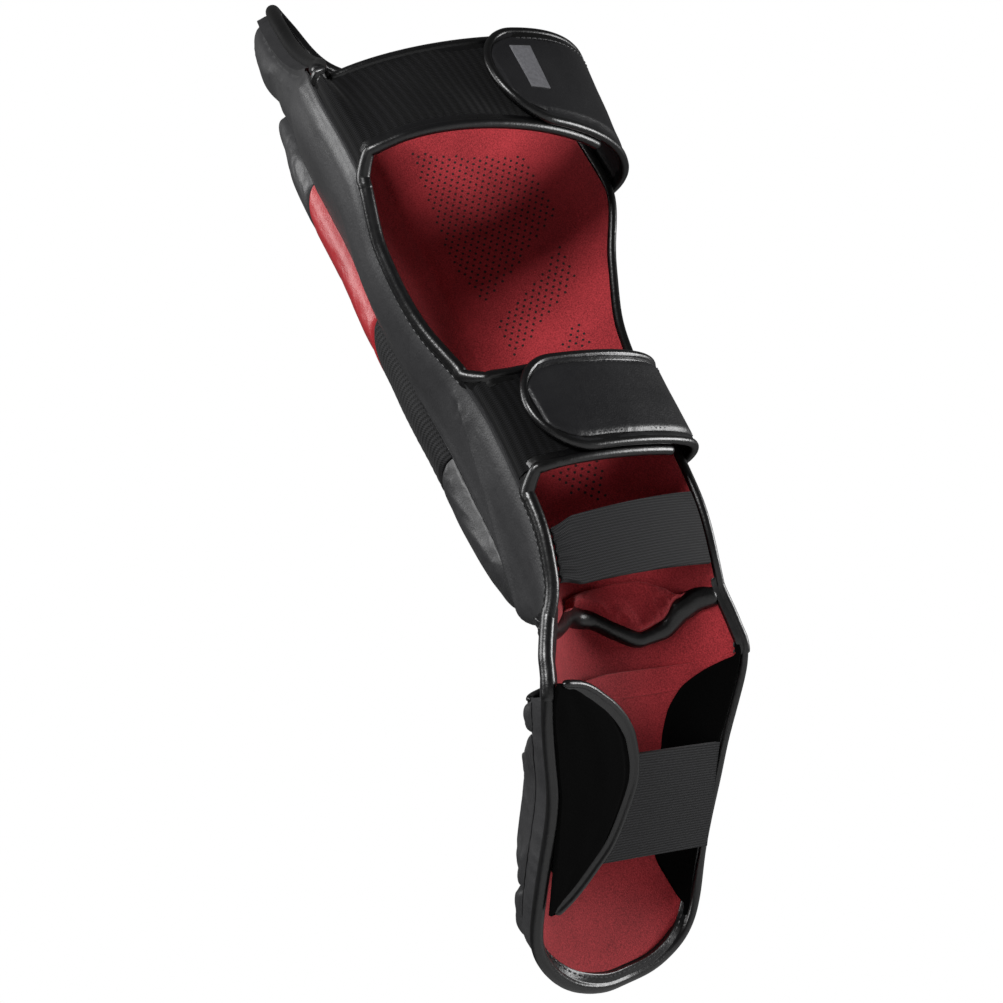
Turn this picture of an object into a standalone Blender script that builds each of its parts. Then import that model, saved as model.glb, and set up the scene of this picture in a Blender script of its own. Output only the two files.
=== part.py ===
"""Left shin-and-instep guard for kickboxing training, closed as it is worn.

+Z runs up the shin, the front of the leg faces -Y and the open back faces +Y. The origin is the
centre of the leg channel at the height of the ankle. The loop-faced elastics are sewn to the +X
edge and the leather straps to the -X edge. Lengths in this file are millimetres, and MM turns
them into metres where a mesh or a curve is made.
"""

import math

import bmesh
import bpy
import numpy as np
from mathutils import Vector

MM = 0.001

# Clearances between touching pieces.
GAP = 0.35
PAD_GAP = 1.2
BAR_GAP = 2.0

# Shin shell: height, half width at the edge, y of the edge, y of the lining at the front.
SHIN_STATIONS = (
    (8, 60, -8, -37),
    (16, 57, -3, -37),
    (30, 52, 6, -37),
    (60, 51, 15, -38),
    (105, 51.5, 17.5, -38),
    (122, 53, 17, -38),
    (156, 62.5, 14.5, -38),
    (193, 73, 22.5, -38),
    (230, 79, 39, -38),
    (260, 79, 38, -39),
    (285, 75, 34, -40),
    (310, 64, 30, -41),
    (345, 60, 28, -43),
    (420, 56, 26, -44),
)
# Share of the section that the shell keeps above the strap corner, up to the knee tip. The outer
# side (+X) reaches higher than the inner side, so the tip lies a little to the outer side.
OUTER_REACH = (
    (288, 1.0),
    (303, 0.9),
    (318, 0.74),
    (332, 0.62),
    (350, 0.48),
    (366, 0.38),
    (382, 0.3),
    (394, 0.225),
    (403, 0.16),
    (409, 0.09),
)
INNER_REACH = (
    (286, 1.0),
    (300, 0.86),
    (318, 0.68),
    (338, 0.5),
    (355, 0.31),
    (369, 0.15),
    (380, 0.1),
    (402, 0.05),
    (409, 0.02),
)
SHIN_TOP = 402
SHIN_TIP = 410.5
SHIN_TIP_S = 4
SHIN_BOTTOM_FRONT = 27
SHIN_BOTTOM_SIDE = 20
SHIN_EDGE_THICK = 6
SHIN_FULL_THICK = 12
TONGUE_THICK = 17
TONGUE_EDGE_THICK = 11
EDGE_TAPER = 30
# The shell is built up under the lower half of the front bar.
LOW_RISE = 6
LEATHER = 1.0
LINING = 1.0
SOFT_FOAM_SHARE = 0.35
EDGE_INSET = 4.2

# Foot pad, in its own plane: along, half width, height of the edge, height of the lining.
FOOT_BEND = math.radians(44)
FOOT_ORIGIN = (1.5, -4.0, -4.0)
FOOT_STATIONS = (
    (-6, 60, 8, 32),
    (14, 64, 0, 30),
    (40, 59, 0, 28),
    (60, 54.5, 0, 28),
    (99, 53.5, 3, 29),
    (125, 53, 4, 25),
    (133, 51, 3, 21),
    (141, 46.5, 1, 14),
    (148, 37.5, -1, 7),
    (152, 27, -2.5, 2),
    (156, 10, -4, -3),
)
FOOT_TOE = 156
FOOT_LAYERS_END = 146
FOOT_TOP_FRONT = 3
FOOT_TOP_SIDE = -8.5
FOOT_EDGE_THICK = 6
FOOT_FULL_THICK = 8

BINDING_RADIUS = 3.2
HEM_STEP = 3.7

# Straps: lowest and highest z, half width and y of their ends, y at the middle of the back.
# how far the top edge is turned about Z, clockwise from above, against the bottom edge, and how
# much lower the elastic reaches than the strap that laps over it.
UPPER_BAND = {"low": 230, "high": 280, "half": 79, "end_y": 40, "back_y": 72, "turn": 0.26, "drop": 2}
LOWER_BAND = {"low": 80, "high": 124, "half": 52, "end_y": 20, "back_y": 31, "turn": 0.06, "drop": 4}
STRAP_THICK = 2.6
STRAP_ROUND = 20
ELASTIC_THICK = 1.6
ANKLE_BAND_WIDTH = 30
HOOK_THICK = 0.8

# Ankle joint.
ANKLE_AXIS_Y = -42
ANKLE_AXIS_Z = 15

COLLECTION = "shin_instep_guard"


# ---------------------------------------------------------------- scene and materials


def clear_scene():
    for obj in list(bpy.data.objects):
        bpy.data.objects.remove(obj)


def material(name, colour, roughness, metallic=0.0):
    made = bpy.data.materials.new(name)
    made.use_nodes = True
    shader = made.node_tree.nodes["Principled BSDF"]
    shader.inputs["Base Color"].default_value = (*colour, 1.0)
    shader.inputs["Roughness"].default_value = roughness
    shader.inputs["Metallic"].default_value = metallic
    return made


def add_object(name, data, skin, collection):
    obj = bpy.data.objects.new(name, data)
    data.materials.append(skin)
    collection.objects.link(obj)
    return obj


# ---------------------------------------------------------------- curves and sections


def smooth(xs, ys, x):
    """Monotone cubic through the points, held level past both ends."""
    xs = np.asarray(xs, float)
    ys = np.asarray(ys, float)
    step = np.diff(xs)
    slope = np.diff(ys) / step
    tangent = np.zeros(len(xs))
    tangent[0], tangent[-1] = slope[0], slope[-1]
    before, after = slope[:-1], slope[1:]
    same = before * after > 0
    tangent[1:-1][same] = 2 * before[same] * after[same] / (before + after)[same]
    x = min(max(x, xs[0]), xs[-1])
    i = min(max(int(np.searchsorted(xs, x)) - 1, 0), len(step) - 1)
    t = (x - xs[i]) / step[i]
    return (
        (2 * t**3 - 3 * t**2 + 1) * ys[i]
        + (t**3 - 2 * t**2 + t) * step[i] * tangent[i]
        + (3 * t**2 - 2 * t**3) * ys[i + 1]
        + (t**3 - t**2) * step[i] * tangent[i + 1]
    )


def station(stations, at):
    """The stations' columns after the first, read at one place along them."""
    columns = list(zip(*stations))
    return [smooth(columns[0], column, at) for column in columns[1:]]


def ease(t):
    t = min(max(t, 0.0), 1.0)
    return t * t * (3 - 2 * t)


class Section:
    """Half of a U section, from the front centre to the edge, measured along its own length."""

    def __init__(self, corners):
        t = np.linspace(0, 1, 121)[:, None]
        q = 1 - t
        p0, p1, p2, p3 = (np.array(c, float) for c in corners)
        self.points = q**3 * p0 + 3 * q * q * t * p1 + 3 * q * t * t * p2 + t**3 * p3
        steps = np.hypot(*np.diff(self.points, axis=0).T)
        self.along = np.concatenate([[0], np.cumsum(steps)])
        heading = np.gradient(self.points, axis=0)
        self.heading = heading / np.hypot(*heading.T)[:, None]
        self.length = self.along[-1]

    def at(self, s, out):
        """(across, depth) at signed length s and at distance out from the section."""
        far = abs(s)
        x, y, hx, hy = (
            np.interp(far, self.along, column)
            for column in (*self.points.T, *self.heading.T)
        )
        size = math.hypot(hx, hy)
        hx, hy = hx / size, hy / size
        extra = max(far - self.length, 0.0)
        x, y = x + hx * extra + hy * out, y + hy * extra - hx * out
        return math.copysign(x, s) if s else 0.0, y


def shin_section(z):
    half, edge_y, front_y = station(SHIN_STATIONS, z)
    bend = (0.78 * half, front_y + 0.5 * (edge_y - front_y))
    return Section(((0, front_y), (0.24 * half, front_y), bend, (half, edge_y)))


def shin_reach(z, side):
    """Length of the shell from the front centre to its edge, on the outer or the inner side."""
    keep = station(OUTER_REACH if side > 0 else INNER_REACH, z)[0]
    return shin_section(z).length * keep


def shin_inset(z, side):
    """How far along the section the sheets stop short of the edge: more where the edge slants."""
    slant = (shin_reach(z + 2, side) - shin_reach(z - 2, side)) / 4
    return EDGE_INSET * math.hypot(1, slant)


def shin_thickness(s, z):
    tongue = ease((z - 345) / 25)
    edge = SHIN_EDGE_THICK + (TONGUE_EDGE_THICK - SHIN_EDGE_THICK) * tongue
    full = SHIN_FULL_THICK + (TONGUE_THICK - SHIN_FULL_THICK) * tongue
    spare = min(shin_reach(z, 1) - s, shin_reach(z, -1) + s)
    built_up = LOW_RISE * ease((54 - abs(s)) / 24) * ease((175 - z) / 45)
    return edge + (full - edge) * ease(spare / EDGE_TAPER) + built_up


def shin_point(s, z, out):
    x, y = shin_section(z).at(s, out)
    return Vector((x, y, z))


def foot_section(t):
    half, edge_h, lining_h = station(FOOT_STATIONS, t)
    depth = lining_h - edge_h
    shoulder = (0.95 * half, edge_h + 0.5 * depth)
    return Section(((0, -lining_h), (0.5 * half, -lining_h), (shoulder[0], -shoulder[1]), (half, -edge_h)))


def foot_plane(x, height, t):
    """A point of the foot pad's own frame: height is away from the foot, t runs to the toes."""
    sine, cosine = math.sin(FOOT_BEND), math.cos(FOOT_BEND)
    return Vector(
        (
            FOOT_ORIGIN[0] + x,
            FOOT_ORIGIN[1] - cosine * height - sine * t,
            FOOT_ORIGIN[2] + sine * height - cosine * t,
        )
    )


def foot_point(s, t, out):
    x, y = foot_section(t).at(s, out)
    return foot_plane(x, -y, t)


def foot_thickness(s, t):
    spare = foot_section(t).length - abs(s)
    return FOOT_EDGE_THICK + (FOOT_FULL_THICK - FOOT_EDGE_THICK) * ease(spare / EDGE_TAPER)


def foot_top(u, z_front, z_side):
    """How far along the pad the ankle line lies at the share u of its half width."""
    z = z_front + (z_side - z_front) * abs(u) ** 1.5
    t = 10.0
    for _ in range(12):
        section = foot_section(t)
        height = -section.at(u * (section.length - EDGE_INSET), FOOT_EDGE_THICK / 2)[1]
        t = (FOOT_ORIGIN[2] + math.sin(FOOT_BEND) * height - z) / math.cos(FOOT_BEND)
    return t


# ---------------------------------------------------------------- solids


def slab(name, columns, rows, inner, outer, skin, collection):
    """Closed solid between two surfaces, each given as a function of (column, row)."""
    mesh = bmesh.new()
    sides = []
    for surface in (inner, outer):
        grid = [[mesh.verts.new(surface(u, v) * MM) for u in columns] for v in rows]
        sides.append(grid)
    low, high = sides
    for j in range(len(rows) - 1):
        for i in range(len(columns) - 1):
            for grid in sides:
                a, b = grid[j][i], grid[j][i + 1]
                c, d = grid[j + 1][i + 1], grid[j + 1][i]
                mesh.faces.new((a, b, c))
                mesh.faces.new((a, c, d))
    rim = [(0, i) for i in range(len(columns))]
    rim += [(j, len(columns) - 1) for j in range(1, len(rows))]
    rim += [(len(rows) - 1, i) for i in range(len(columns) - 2, -1, -1)]
    rim += [(j, 0) for j in range(len(rows) - 2, 0, -1)]
    for (j, i), (l, k) in zip(rim, rim[1:] + rim[:1]):
        mesh.faces.new((low[j][i], low[l][k], high[l][k], high[j][i]))
    bmesh.ops.recalc_face_normals(mesh, faces=mesh.faces)
    if mesh.calc_volume(signed=True) < 0:
        bmesh.ops.reverse_faces(mesh, faces=mesh.faces)
    data = bpy.data.meshes.new(name)
    mesh.to_mesh(data)
    mesh.free()
    data.shade_smooth()
    data.set_sharp_from_angle(angle=math.radians(40))
    return add_object(name, data, skin, collection)


def tube(name, points, radius, skin, collection):
    data = bpy.data.curves.new(name, "CURVE")
    data.dimensions = "3D"
    data.bevel_depth = radius * MM
    data.bevel_resolution = 1
    data.use_fill_caps = True
    spline = data.splines.new("POLY")
    spline.points.add(len(points) - 1)
    for knot, point in zip(spline.points, points):
        knot.co = (*(point * MM), 1.0)
    return add_object(name, data, skin, collection)


def spaced(count):
    return list(np.linspace(0, 1, count))


# ---------------------------------------------------------------- shin


SHIN_ROWS = (*np.linspace(0, 0.7, 13), *np.linspace(0.735, 1, 9))
SHIN_COLUMNS = (-1, -0.75, -0.5, -0.3, -0.16, -0.07, 0, 0.07, 0.16, 0.3, 0.5, 0.75, 1)


def shin_bottom(u):
    return SHIN_BOTTOM_FRONT + (SHIN_BOTTOM_SIDE - SHIN_BOTTOM_FRONT) * abs(u) ** 1.5


def shin_layer(name, start, end, skin, collection):
    """A sheet of the shell: start and end give its distances from the lining's inside."""

    def surface(depth):
        def point(u, v):
            z = shin_bottom(u) + (SHIN_TOP - shin_bottom(u)) * v
            s = u * max(shin_reach(z, u) - shin_inset(z, u), 1.0)
            return shin_point(s, z, depth(shin_thickness(s, z)))

        return point

    return slab(name, SHIN_COLUMNS, SHIN_ROWS, surface(start), surface(end), skin, collection)


def make_shin(skins, parts):
    shin_layer("shin_liner", lambda t: 0, lambda t: LINING, skins["liner"], parts)
    shin_layer(
        "shin_comfort_foam",
        lambda t: LINING + GAP,
        lambda t: SOFT_FOAM_SHARE * t,
        skins["soft_foam"],
        parts,
    )
    shin_layer(
        "shin_impact_foam",
        lambda t: SOFT_FOAM_SHARE * t + GAP,
        lambda t: t - LEATHER - GAP,
        skins["hard_foam"],
        parts,
    )
    shin_layer("shin_outer_cover", lambda t: t - LEATHER, lambda t: t, skins["black"], parts)

    middle = SHIN_EDGE_THICK / 2
    rows = SHIN_BOTTOM_SIDE + (SHIN_TOP - SHIN_BOTTOM_SIDE) * np.array(SHIN_ROWS)
    heights = (SHIN_BOTTOM_SIDE - HEM_STEP, *rows, SHIN_TOP + 4)
    loop = [shin_point(shin_reach(z, 1), z, middle) for z in heights]
    loop.append(shin_point(SHIN_TIP_S, SHIN_TIP, middle))
    loop += [shin_point(-shin_reach(z, -1), z, middle) for z in reversed(heights)]
    tube("shin_edge_binding", loop, BINDING_RADIUS, skins["black"], parts)

    hem = []
    for u in np.linspace(-1, 1, 21):
        z = shin_bottom(u) - HEM_STEP
        hem.append(shin_point(u * (shin_reach(z, u) - 2.4 * BINDING_RADIUS), z, middle + 1))
    tube("shin_bottom_hem", hem, BINDING_RADIUS, skins["black"], parts)


# Front bar: half width and distance of its top from the lining's inside, by height.
BAR_HALF = (
    (42, 30),
    (50, 36),
    (60, 39),
    (92, 37),
    (118, 38),
    (150, 41),
    (200, 42),
    (240, 41),
    (290, 42),
    (306, 36),
    (322, 28),
    (334, 22),
    (340, 16),
    (344, 9),
)
BAR_TOP = (
    (42, 21),
    (50, 22),
    (60, 24),
    (80, 26),
    (92, 26.5),
    (130, 26),
    (150, 25),
    (170, 24),
    (254, 24),
    (300, 23.5),
    (320, 22),
    (336, 20),
    (344, 17),
)
# Joints between the bar's segments: height at the bar's side, and how much lower at its middle.
BAR_JOINTS = ((42, 0), (114, 10), (195, 35), (277, 23), (344, 0))
BAR_SEGMENTS = (
    ("spine_pad_lower", "black"),
    ("spine_pad_ribbed", "mesh"),
    ("spine_pad_red", "red"),
    ("spine_pad_upper", "black"),
)


def bar_joint(index, u):
    side, drop = BAR_JOINTS[index]
    return side - drop * (1 - u * u)


def make_spine(skins, parts):
    columns = (-1, -0.86, -0.6, -0.3, 0, 0.3, 0.6, 0.86, 1)
    for index, (name, skin) in enumerate(BAR_SEGMENTS):

        def place(u, v, index=index):
            low, high = bar_joint(index, u) + 0.5, bar_joint(index + 1, u) - 0.5
            z = low + (high - low) * v
            s = u * station(BAR_HALF, z)[0]
            return s, z, shin_thickness(s, z) + BAR_GAP

        def inner(u, v, place=place):
            return shin_point(*place(u, v))

        def outer(u, v, place=place):
            s, z, base = place(u, v)
            top = max(station(BAR_TOP, z)[0] - base, 1.5)
            return shin_point(s, z, base + 1 + (top - 1) * (1 - abs(u) ** 5))

        slab(name, columns, spaced(8), inner, outer, skins[skin], parts)


# ---------------------------------------------------------------- straps


def band_point(band, angle, z, out):
    """A point of the strap's path: a half ellipse from the +X end, whose top edge is turned."""
    a, b = band["half"], band["back_y"] - band["end_y"]
    x, y = a * math.cos(angle), b * math.sin(angle)
    nx, ny = x / a**2, y / b**2
    size = math.hypot(nx, ny)
    turn = band["turn"] * (z - band["low"]) / (band["high"] - band["low"])
    turn *= ease(6 * angle / math.pi) * ease(2 - 2 * angle / math.pi)
    return Vector((x + out * nx / size, band["end_y"] + y - turn * x + out * ny / size, z))


def band_slab(name, band, start, end, low, high, near, far, skin, parts, end_round=0.0, count=13):
    """A strip along the band between two angles. end_round, in mm, rounds its start."""
    round_turn = math.degrees(end_round / band["half"])

    def surface(out):
        def point(u, v):
            angle = math.radians(start + (end - start) * u)
            middle, half = (low + high) / 2, (high - low) / 2
            if end_round:
                share = min(u * abs(end - start) / round_turn, 1.0)
                half *= 0.3 + 0.7 * math.sqrt(max(1 - (1 - share) ** 2, 0.0))
            return band_point(band, angle, middle + (2 * v - 1) * half, out)

        return point

    return slab(name, spaced(count), spaced(3), surface(near), surface(far), skin, parts)


def band_edge(band, start, end, z, out, count):
    return [band_point(band, a, z, out) for a in np.radians(np.linspace(start, end, count))]


def make_strap(prefix, band, free_angle, elastic_end, skins, parts):
    """One closure: the elastic from the +X edge and the leather strap that laps over it."""
    low, high = band["low"], band["high"]
    edge = 2.2
    first = 5
    band_slab(
        f"{prefix}_elastic_panel", band, first, elastic_end, low - band["drop"] + edge, high - edge,
        0, ELASTIC_THICK, skins["elastic"], parts,
    )
    for side, z in (("lower", low - band["drop"]), ("upper", high)):
        name = f"{prefix}_elastic_{side}_piping"
        tube(name, band_edge(band, first, elastic_end, z, ELASTIC_THICK / 2, 13), 1.7, skins["black"], parts)

    hook_near = ELASTIC_THICK + 1.2
    hook_far = hook_near + HOOK_THICK
    band_slab(
        f"{prefix}_strap_hook_tape", band, free_angle + 8, elastic_end - 4, low + 5, high - 5,
        hook_near, hook_far, skins["hook"], parts, count=6,
    )
    strap_near = hook_far + GAP
    strap_far = strap_near + STRAP_THICK
    band_slab(
        f"{prefix}_strap", band, free_angle, 176, low, high, strap_near, strap_far,
        skins["black"], parts, end_round=STRAP_ROUND, count=15,
    )
    return strap_near


def strap_piping(prefix, band, free_angle, strap_near, skins, parts):
    """The rolled edge round the strap's two long sides and its rounded end."""
    out = strap_near + STRAP_THICK / 2
    middle = (band["low"] + band["high"]) / 2
    half = (band["high"] - band["low"]) / 2 + 2.2
    beyond = 4 / band["half"]
    swing = STRAP_ROUND / band["half"]
    straight = free_angle + math.degrees(swing)
    points = band_edge(band, 176, straight, middle - half, out, 9)
    for turn in np.radians(np.linspace(-72, 72, 9)):
        angle = math.radians(free_angle) - beyond + swing * (1 - math.cos(turn))
        points.append(band_point(band, angle, middle + half * math.sin(turn), out))
    points += band_edge(band, straight, 176, middle + half, out, 9)
    tube(f"{prefix}_strap_piping", points, 1.8, skins["black"], parts)


def strap_tab(prefix, band, skins, parts):
    """The sewn root of the strap, flat on the outside of the -X wing."""
    low, high = band["low"] + 1, band["high"] - 1

    def surface(extra):
        def point(u, v):
            z = low + (high - low) * v
            s = -(shin_reach(z, -1) - 8 - 28 * u)
            return shin_point(s, z, shin_thickness(s, z) + PAD_GAP + extra)

        return point

    slab(f"{prefix}_strap_tab", spaced(4), spaced(4), surface(0), surface(2.4), skins["black"], parts)


def make_straps(skins, parts):
    for prefix, band, free_angle, elastic_end in (
        ("upper", UPPER_BAND, 82, 128),
        ("lower", LOWER_BAND, 36, 128),
    ):
        near = make_strap(prefix, band, free_angle, elastic_end, skins, parts)
        strap_piping(prefix, band, free_angle, near, skins, parts)
        strap_tab(prefix, band, skins, parts)

    label = UPPER_BAND
    out = ELASTIC_THICK + 1.2 + HOOK_THICK + GAP + STRAP_THICK + GAP
    band_slab("strap_label", label, 92, 100, 246, 270, out, out + 0.8, skins["label"], parts, count=3)


def make_ankle_band(skins, parts):
    def surface(out):
        def point(u, v):
            across = 2 * u - 1
            z = 28 + (ANKLE_BAND_WIDTH - 3 * across) * v
            half, edge_y, _ = station(SHIN_STATIONS, z)
            bow = 4 * (1 - across**2)
            return Vector(((half - 4) * across, edge_y - 2 + bow + out, z))

        return point

    slab("ankle_elastic_band", spaced(11), spaced(3), surface(0), surface(ELASTIC_THICK), skins["elastic"], parts)


# ---------------------------------------------------------------- foot


FOOT_COLUMNS = (-1, -0.8, -0.6, -0.4, -0.2, 0, 0.2, 0.4, 0.6, 0.8, 1)


def foot_layer(name, start, end, skin, parts):
    tops = {u: foot_top(u, FOOT_TOP_FRONT, FOOT_TOP_SIDE) for u in FOOT_COLUMNS}

    def surface(depth):
        def point(u, v):
            t = tops[u] + (FOOT_LAYERS_END - tops[u]) * v
            s = u * (foot_section(t).length - EDGE_INSET)
            return foot_point(s, t, depth(foot_thickness(s, t)))

        return point

    return slab(name, FOOT_COLUMNS, spaced(12), surface(start), surface(end), skin, parts)


def make_foot(skins, parts):
    foot_layer("foot_liner", lambda t: 0, lambda t: LINING, skins["liner"], parts)
    foot_layer(
        "foot_impact_foam",
        lambda t: LINING + GAP,
        lambda t: t - LEATHER - GAP,
        skins["hard_foam"],
        parts,
    )
    foot_layer("foot_outer_cover", lambda t: t - LEATHER, lambda t: t, skins["black"], parts)

    middle = FOOT_EDGE_THICK / 2
    start = foot_top(1, FOOT_TOP_FRONT + HEM_STEP, FOOT_TOP_SIDE + HEM_STEP)
    along = [*np.linspace(start, 140, 16), 145, 149, 152.5, 155]
    edge = [(foot_section(t).length, t) for t in along]
    loop = [foot_point(s, t, middle) for s, t in edge]
    loop.append(foot_point(0, FOOT_TOE, middle))
    loop += [foot_point(-s, t, middle) for s, t in reversed(edge)]
    tube("foot_edge_binding", loop, BINDING_RADIUS, skins["black"], parts)

    hem = []
    for u in np.linspace(-1, 1, 19):
        t = foot_top(u, FOOT_TOP_FRONT + HEM_STEP, FOOT_TOP_SIDE + HEM_STEP)
        s = u * (foot_section(t).length - 2.4 * BINDING_RADIUS)
        hem.append(foot_point(s, t, middle))
    tube("foot_top_hem", hem, BINDING_RADIUS - 0.4, skins["black"], parts)


# Puffed segments on the instep: name, first and last t at the middle, half width.
INSTEP_PADS = (
    ("instep_pad_ankle", 30, 50, 40),
    ("instep_pad_middle", 52, 112, 42),
    ("instep_pad_toe", 114, 138, 36),
)
INSTEP_RISE = 3.5


def make_instep_pads(skins, parts):
    columns = (-1, -0.75, -0.4, 0, 0.4, 0.75, 1)
    for name, first, last, half in INSTEP_PADS:

        def inner(u, v, first=first, last=last, half=half):
            s, t = u * half, first + (last - first) * v
            return foot_point(s, t, foot_thickness(s, t) + PAD_GAP)

        def outer(u, v, first=first, last=last, half=half):
            s, t = u * half, first + (last - first) * v
            puff = 0.25 + 0.75 * (1 - u**4) * (1 - (2 * v - 1) ** 4)
            return foot_point(s, t, foot_thickness(s, t) + PAD_GAP + INSTEP_RISE * puff)

        slab(name, columns, spaced(6), inner, outer, skins["black"], parts)


def make_wings(skins, parts):
    """The two D-shaped flaps: +X lies across the sole side, -X is folded in on the lining."""
    first, last, reach = 8, 109, 51

    def bulge(v):
        return math.sqrt(max(1 - (2 * v - 1) ** 2, 0.0)) ** 0.9

    def left(height):
        def point(u, v):
            t = first + (last - first) * v
            edge = station(FOOT_STATIONS, t)[0] - 2.5
            return foot_plane(edge - u * (1 + reach * bulge(v)), height, t)

        return point

    rows = [0.02, 0.1, 0.22, 0.36, 0.5, 0.64, 0.78, 0.9, 0.98]
    slab("foot_wing_outer_side", spaced(4), rows, left(-3.2), left(-1.2), skins["black"], parts)
    rim = []
    for v in np.linspace(0.04, 0.96, 19):
        before, after = left(-2.2)(1, v - 0.02), left(-2.2)(1, v + 0.02)
        run = (after - before).normalized()
        across = run.cross(Vector((0, -math.cos(FOOT_BEND), math.sin(FOOT_BEND))))
        rim.append((before + after) / 2 + 2.4 * across)
    tube("foot_wing_piping", rim, 1.5, skins["black"], parts)

    def right(out):
        def point(u, v):
            t = 14 + 120 * v
            edge = foot_section(t).length - EDGE_INSET - 3
            return foot_point(-(edge - u * (2 + 34 * bulge(v))), t, out)

        return point

    slab("foot_wing_inner_side", spaced(5), rows, right(-3.4), right(-2.2), skins["black"], parts)


def make_foot_elastic(skins, parts):
    def surface(height):
        def point(u, v):
            return foot_plane(52 - 104 * u, height, 44 + 50 * v + 10 * u)

        return point

    slab("foot_elastic_strap", spaced(9), spaced(4), surface(0.2), surface(1.8), skins["elastic"], parts)


def make_ankle_hinge(skins, parts):
    """The sewn fold that the foot pad swings on."""
    row = [Vector((x, ANKLE_AXIS_Y, ANKLE_AXIS_Z)) for x in np.linspace(-22, 22, 5)]
    tube("ankle_fold_strip", row, 2.0, skins["black"], parts)


def main():
    clear_scene()
    parts = bpy.data.collections.new(COLLECTION)
    bpy.context.scene.collection.children.link(parts)
    skins = {
        "black": material("black_leather", (0.02, 0.02, 0.022), 0.42),
        "red": material("red_leather", (0.33, 0.02, 0.025), 0.45),
        "mesh": material("ribbed_black", (0.015, 0.015, 0.016), 0.7),
        "liner": material("red_lining", (0.36, 0.035, 0.04), 0.85),
        "elastic": material("black_elastic", (0.012, 0.012, 0.013), 0.85),
        "hook": material("hook_tape", (0.02, 0.02, 0.02), 0.7),
        "label": material("label", (0.12, 0.12, 0.13), 0.5),
        "soft_foam": material("soft_foam", (0.35, 0.35, 0.36), 0.9),
        "hard_foam": material("hard_foam", (0.1, 0.1, 0.11), 0.9),
    }
    make_shin(skins, parts)
    make_spine(skins, parts)
    make_straps(skins, parts)
    make_ankle_band(skins, parts)
    make_foot(skins, parts)
    make_instep_pads(skins, parts)
    make_wings(skins, parts)
    make_foot_elastic(skins, parts)
    make_ankle_hinge(skins, parts)


main()
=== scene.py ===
"""Looks of the left shin-and-instep guard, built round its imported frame.

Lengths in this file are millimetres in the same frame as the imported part, and MM turns them into
metres where a mesh is made. +Z runs up the shin, -Y is the front of the leg, +X its outer side.
"""

import math

import bmesh
import bpy
import numpy as np
from mathutils import Matrix, Vector


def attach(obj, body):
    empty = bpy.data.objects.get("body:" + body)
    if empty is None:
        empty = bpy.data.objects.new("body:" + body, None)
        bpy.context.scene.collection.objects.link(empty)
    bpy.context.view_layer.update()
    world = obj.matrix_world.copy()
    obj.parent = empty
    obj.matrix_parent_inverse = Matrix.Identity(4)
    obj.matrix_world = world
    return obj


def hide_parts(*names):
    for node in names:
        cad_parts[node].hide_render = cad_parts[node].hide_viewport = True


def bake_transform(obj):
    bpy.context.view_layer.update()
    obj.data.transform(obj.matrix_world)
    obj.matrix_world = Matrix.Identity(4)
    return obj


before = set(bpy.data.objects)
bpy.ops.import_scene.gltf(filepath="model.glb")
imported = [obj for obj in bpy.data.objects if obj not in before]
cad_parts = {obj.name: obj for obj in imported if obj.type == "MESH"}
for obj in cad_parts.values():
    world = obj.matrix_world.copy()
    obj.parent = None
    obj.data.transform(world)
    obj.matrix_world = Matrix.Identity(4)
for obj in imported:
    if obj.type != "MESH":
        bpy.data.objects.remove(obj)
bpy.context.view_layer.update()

MM = 0.001

# Camera: azimuth, elevation and roll in degrees, distance and target in metres.
CAMERA_AZIMUTH = 132.7
CAMERA_ELEVATION = -19.6
CAMERA_ROLL = -26.3
CAMERA_DISTANCE = 0.72864
CAMERA_TARGET = (0.0, -0.0506, 0.1012)
CAMERA_LENS = 54.13
AMBIENT = 0.08
# Lights: name, offset from the target along the camera's right, up and back, size and power.
LIGHTS = (
    ("key", (-0.5, 0.55, 1.0), 0.35, 17.0),
    ("satin", (-1.15, 0.35, 0.1), 0.7, 14.0),
    ("edge", (1.0, 0.1, -0.15), 0.4, 8.0),
)
FLOOR_HALF = 4.0
FLOOR_Z = -0.62

# Shin shell: height, half width at the edge, y of the edge, y of the lining at the front.
SHIN_STATIONS = (
    (8, 60, -8, -37),
    (16, 57, -3, -37),
    (30, 52, 6, -37),
    (60, 51, 15, -38),
    (105, 51.5, 17.5, -38),
    (122, 53, 17, -38),
    (156, 62.5, 14.5, -38),
    (193, 73, 22.5, -38),
    (230, 79, 39, -38),
    (260, 79, 38, -39),
    (285, 75, 34, -40),
    (310, 64, 30, -41),
    (345, 60, 28, -43),
    (420, 56, 26, -44),
)
# Share of the section that the shell keeps above the strap corner, on the outer and inner side.
OUTER_REACH = (
    (288, 1.0), (303, 0.9), (318, 0.74), (332, 0.62), (350, 0.48), (366, 0.38), (382, 0.3),
    (394, 0.225), (403, 0.16), (409, 0.09),
)
INNER_REACH = (
    (286, 1.0), (300, 0.86), (318, 0.68), (338, 0.5), (355, 0.31), (369, 0.15), (380, 0.1),
    (402, 0.05), (409, 0.02),
)
SHIN_TOP = 402
SHIN_TIP = 410.5
SHIN_TIP_S = 4
SHIN_EDGE_THICK = 6
SHIN_FULL_THICK = 12
TONGUE_THICK = 17
TONGUE_EDGE_THICK = 11
EDGE_TAPER = 30
LOW_RISE = 6

# Bottom edge of the shell at signed lengths from the front centre: the hem waves over the ankle.
HEM_WAVE = (
    (-80, 17), (-66, 17), (-55, 19), (-47, 18), (-36, 12.5), (-25, 12), (-15, 19), (-4, 29),
    (8, 32), (24, 27), (44, 20), (60, 17), (80, 16),
)

# How much the folded hem swells, by length from the front centre.
HEM_SIZE = (
    (-72, 1.0), (-66, 1.7), (-58, 2.3), (-48, 2.5), (-38, 1.9), (-26, 1.5), (-12, 1.5),
    (4, 1.8), (20, 2.0), (36, 1.8), (56, 1.2),
)

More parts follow.
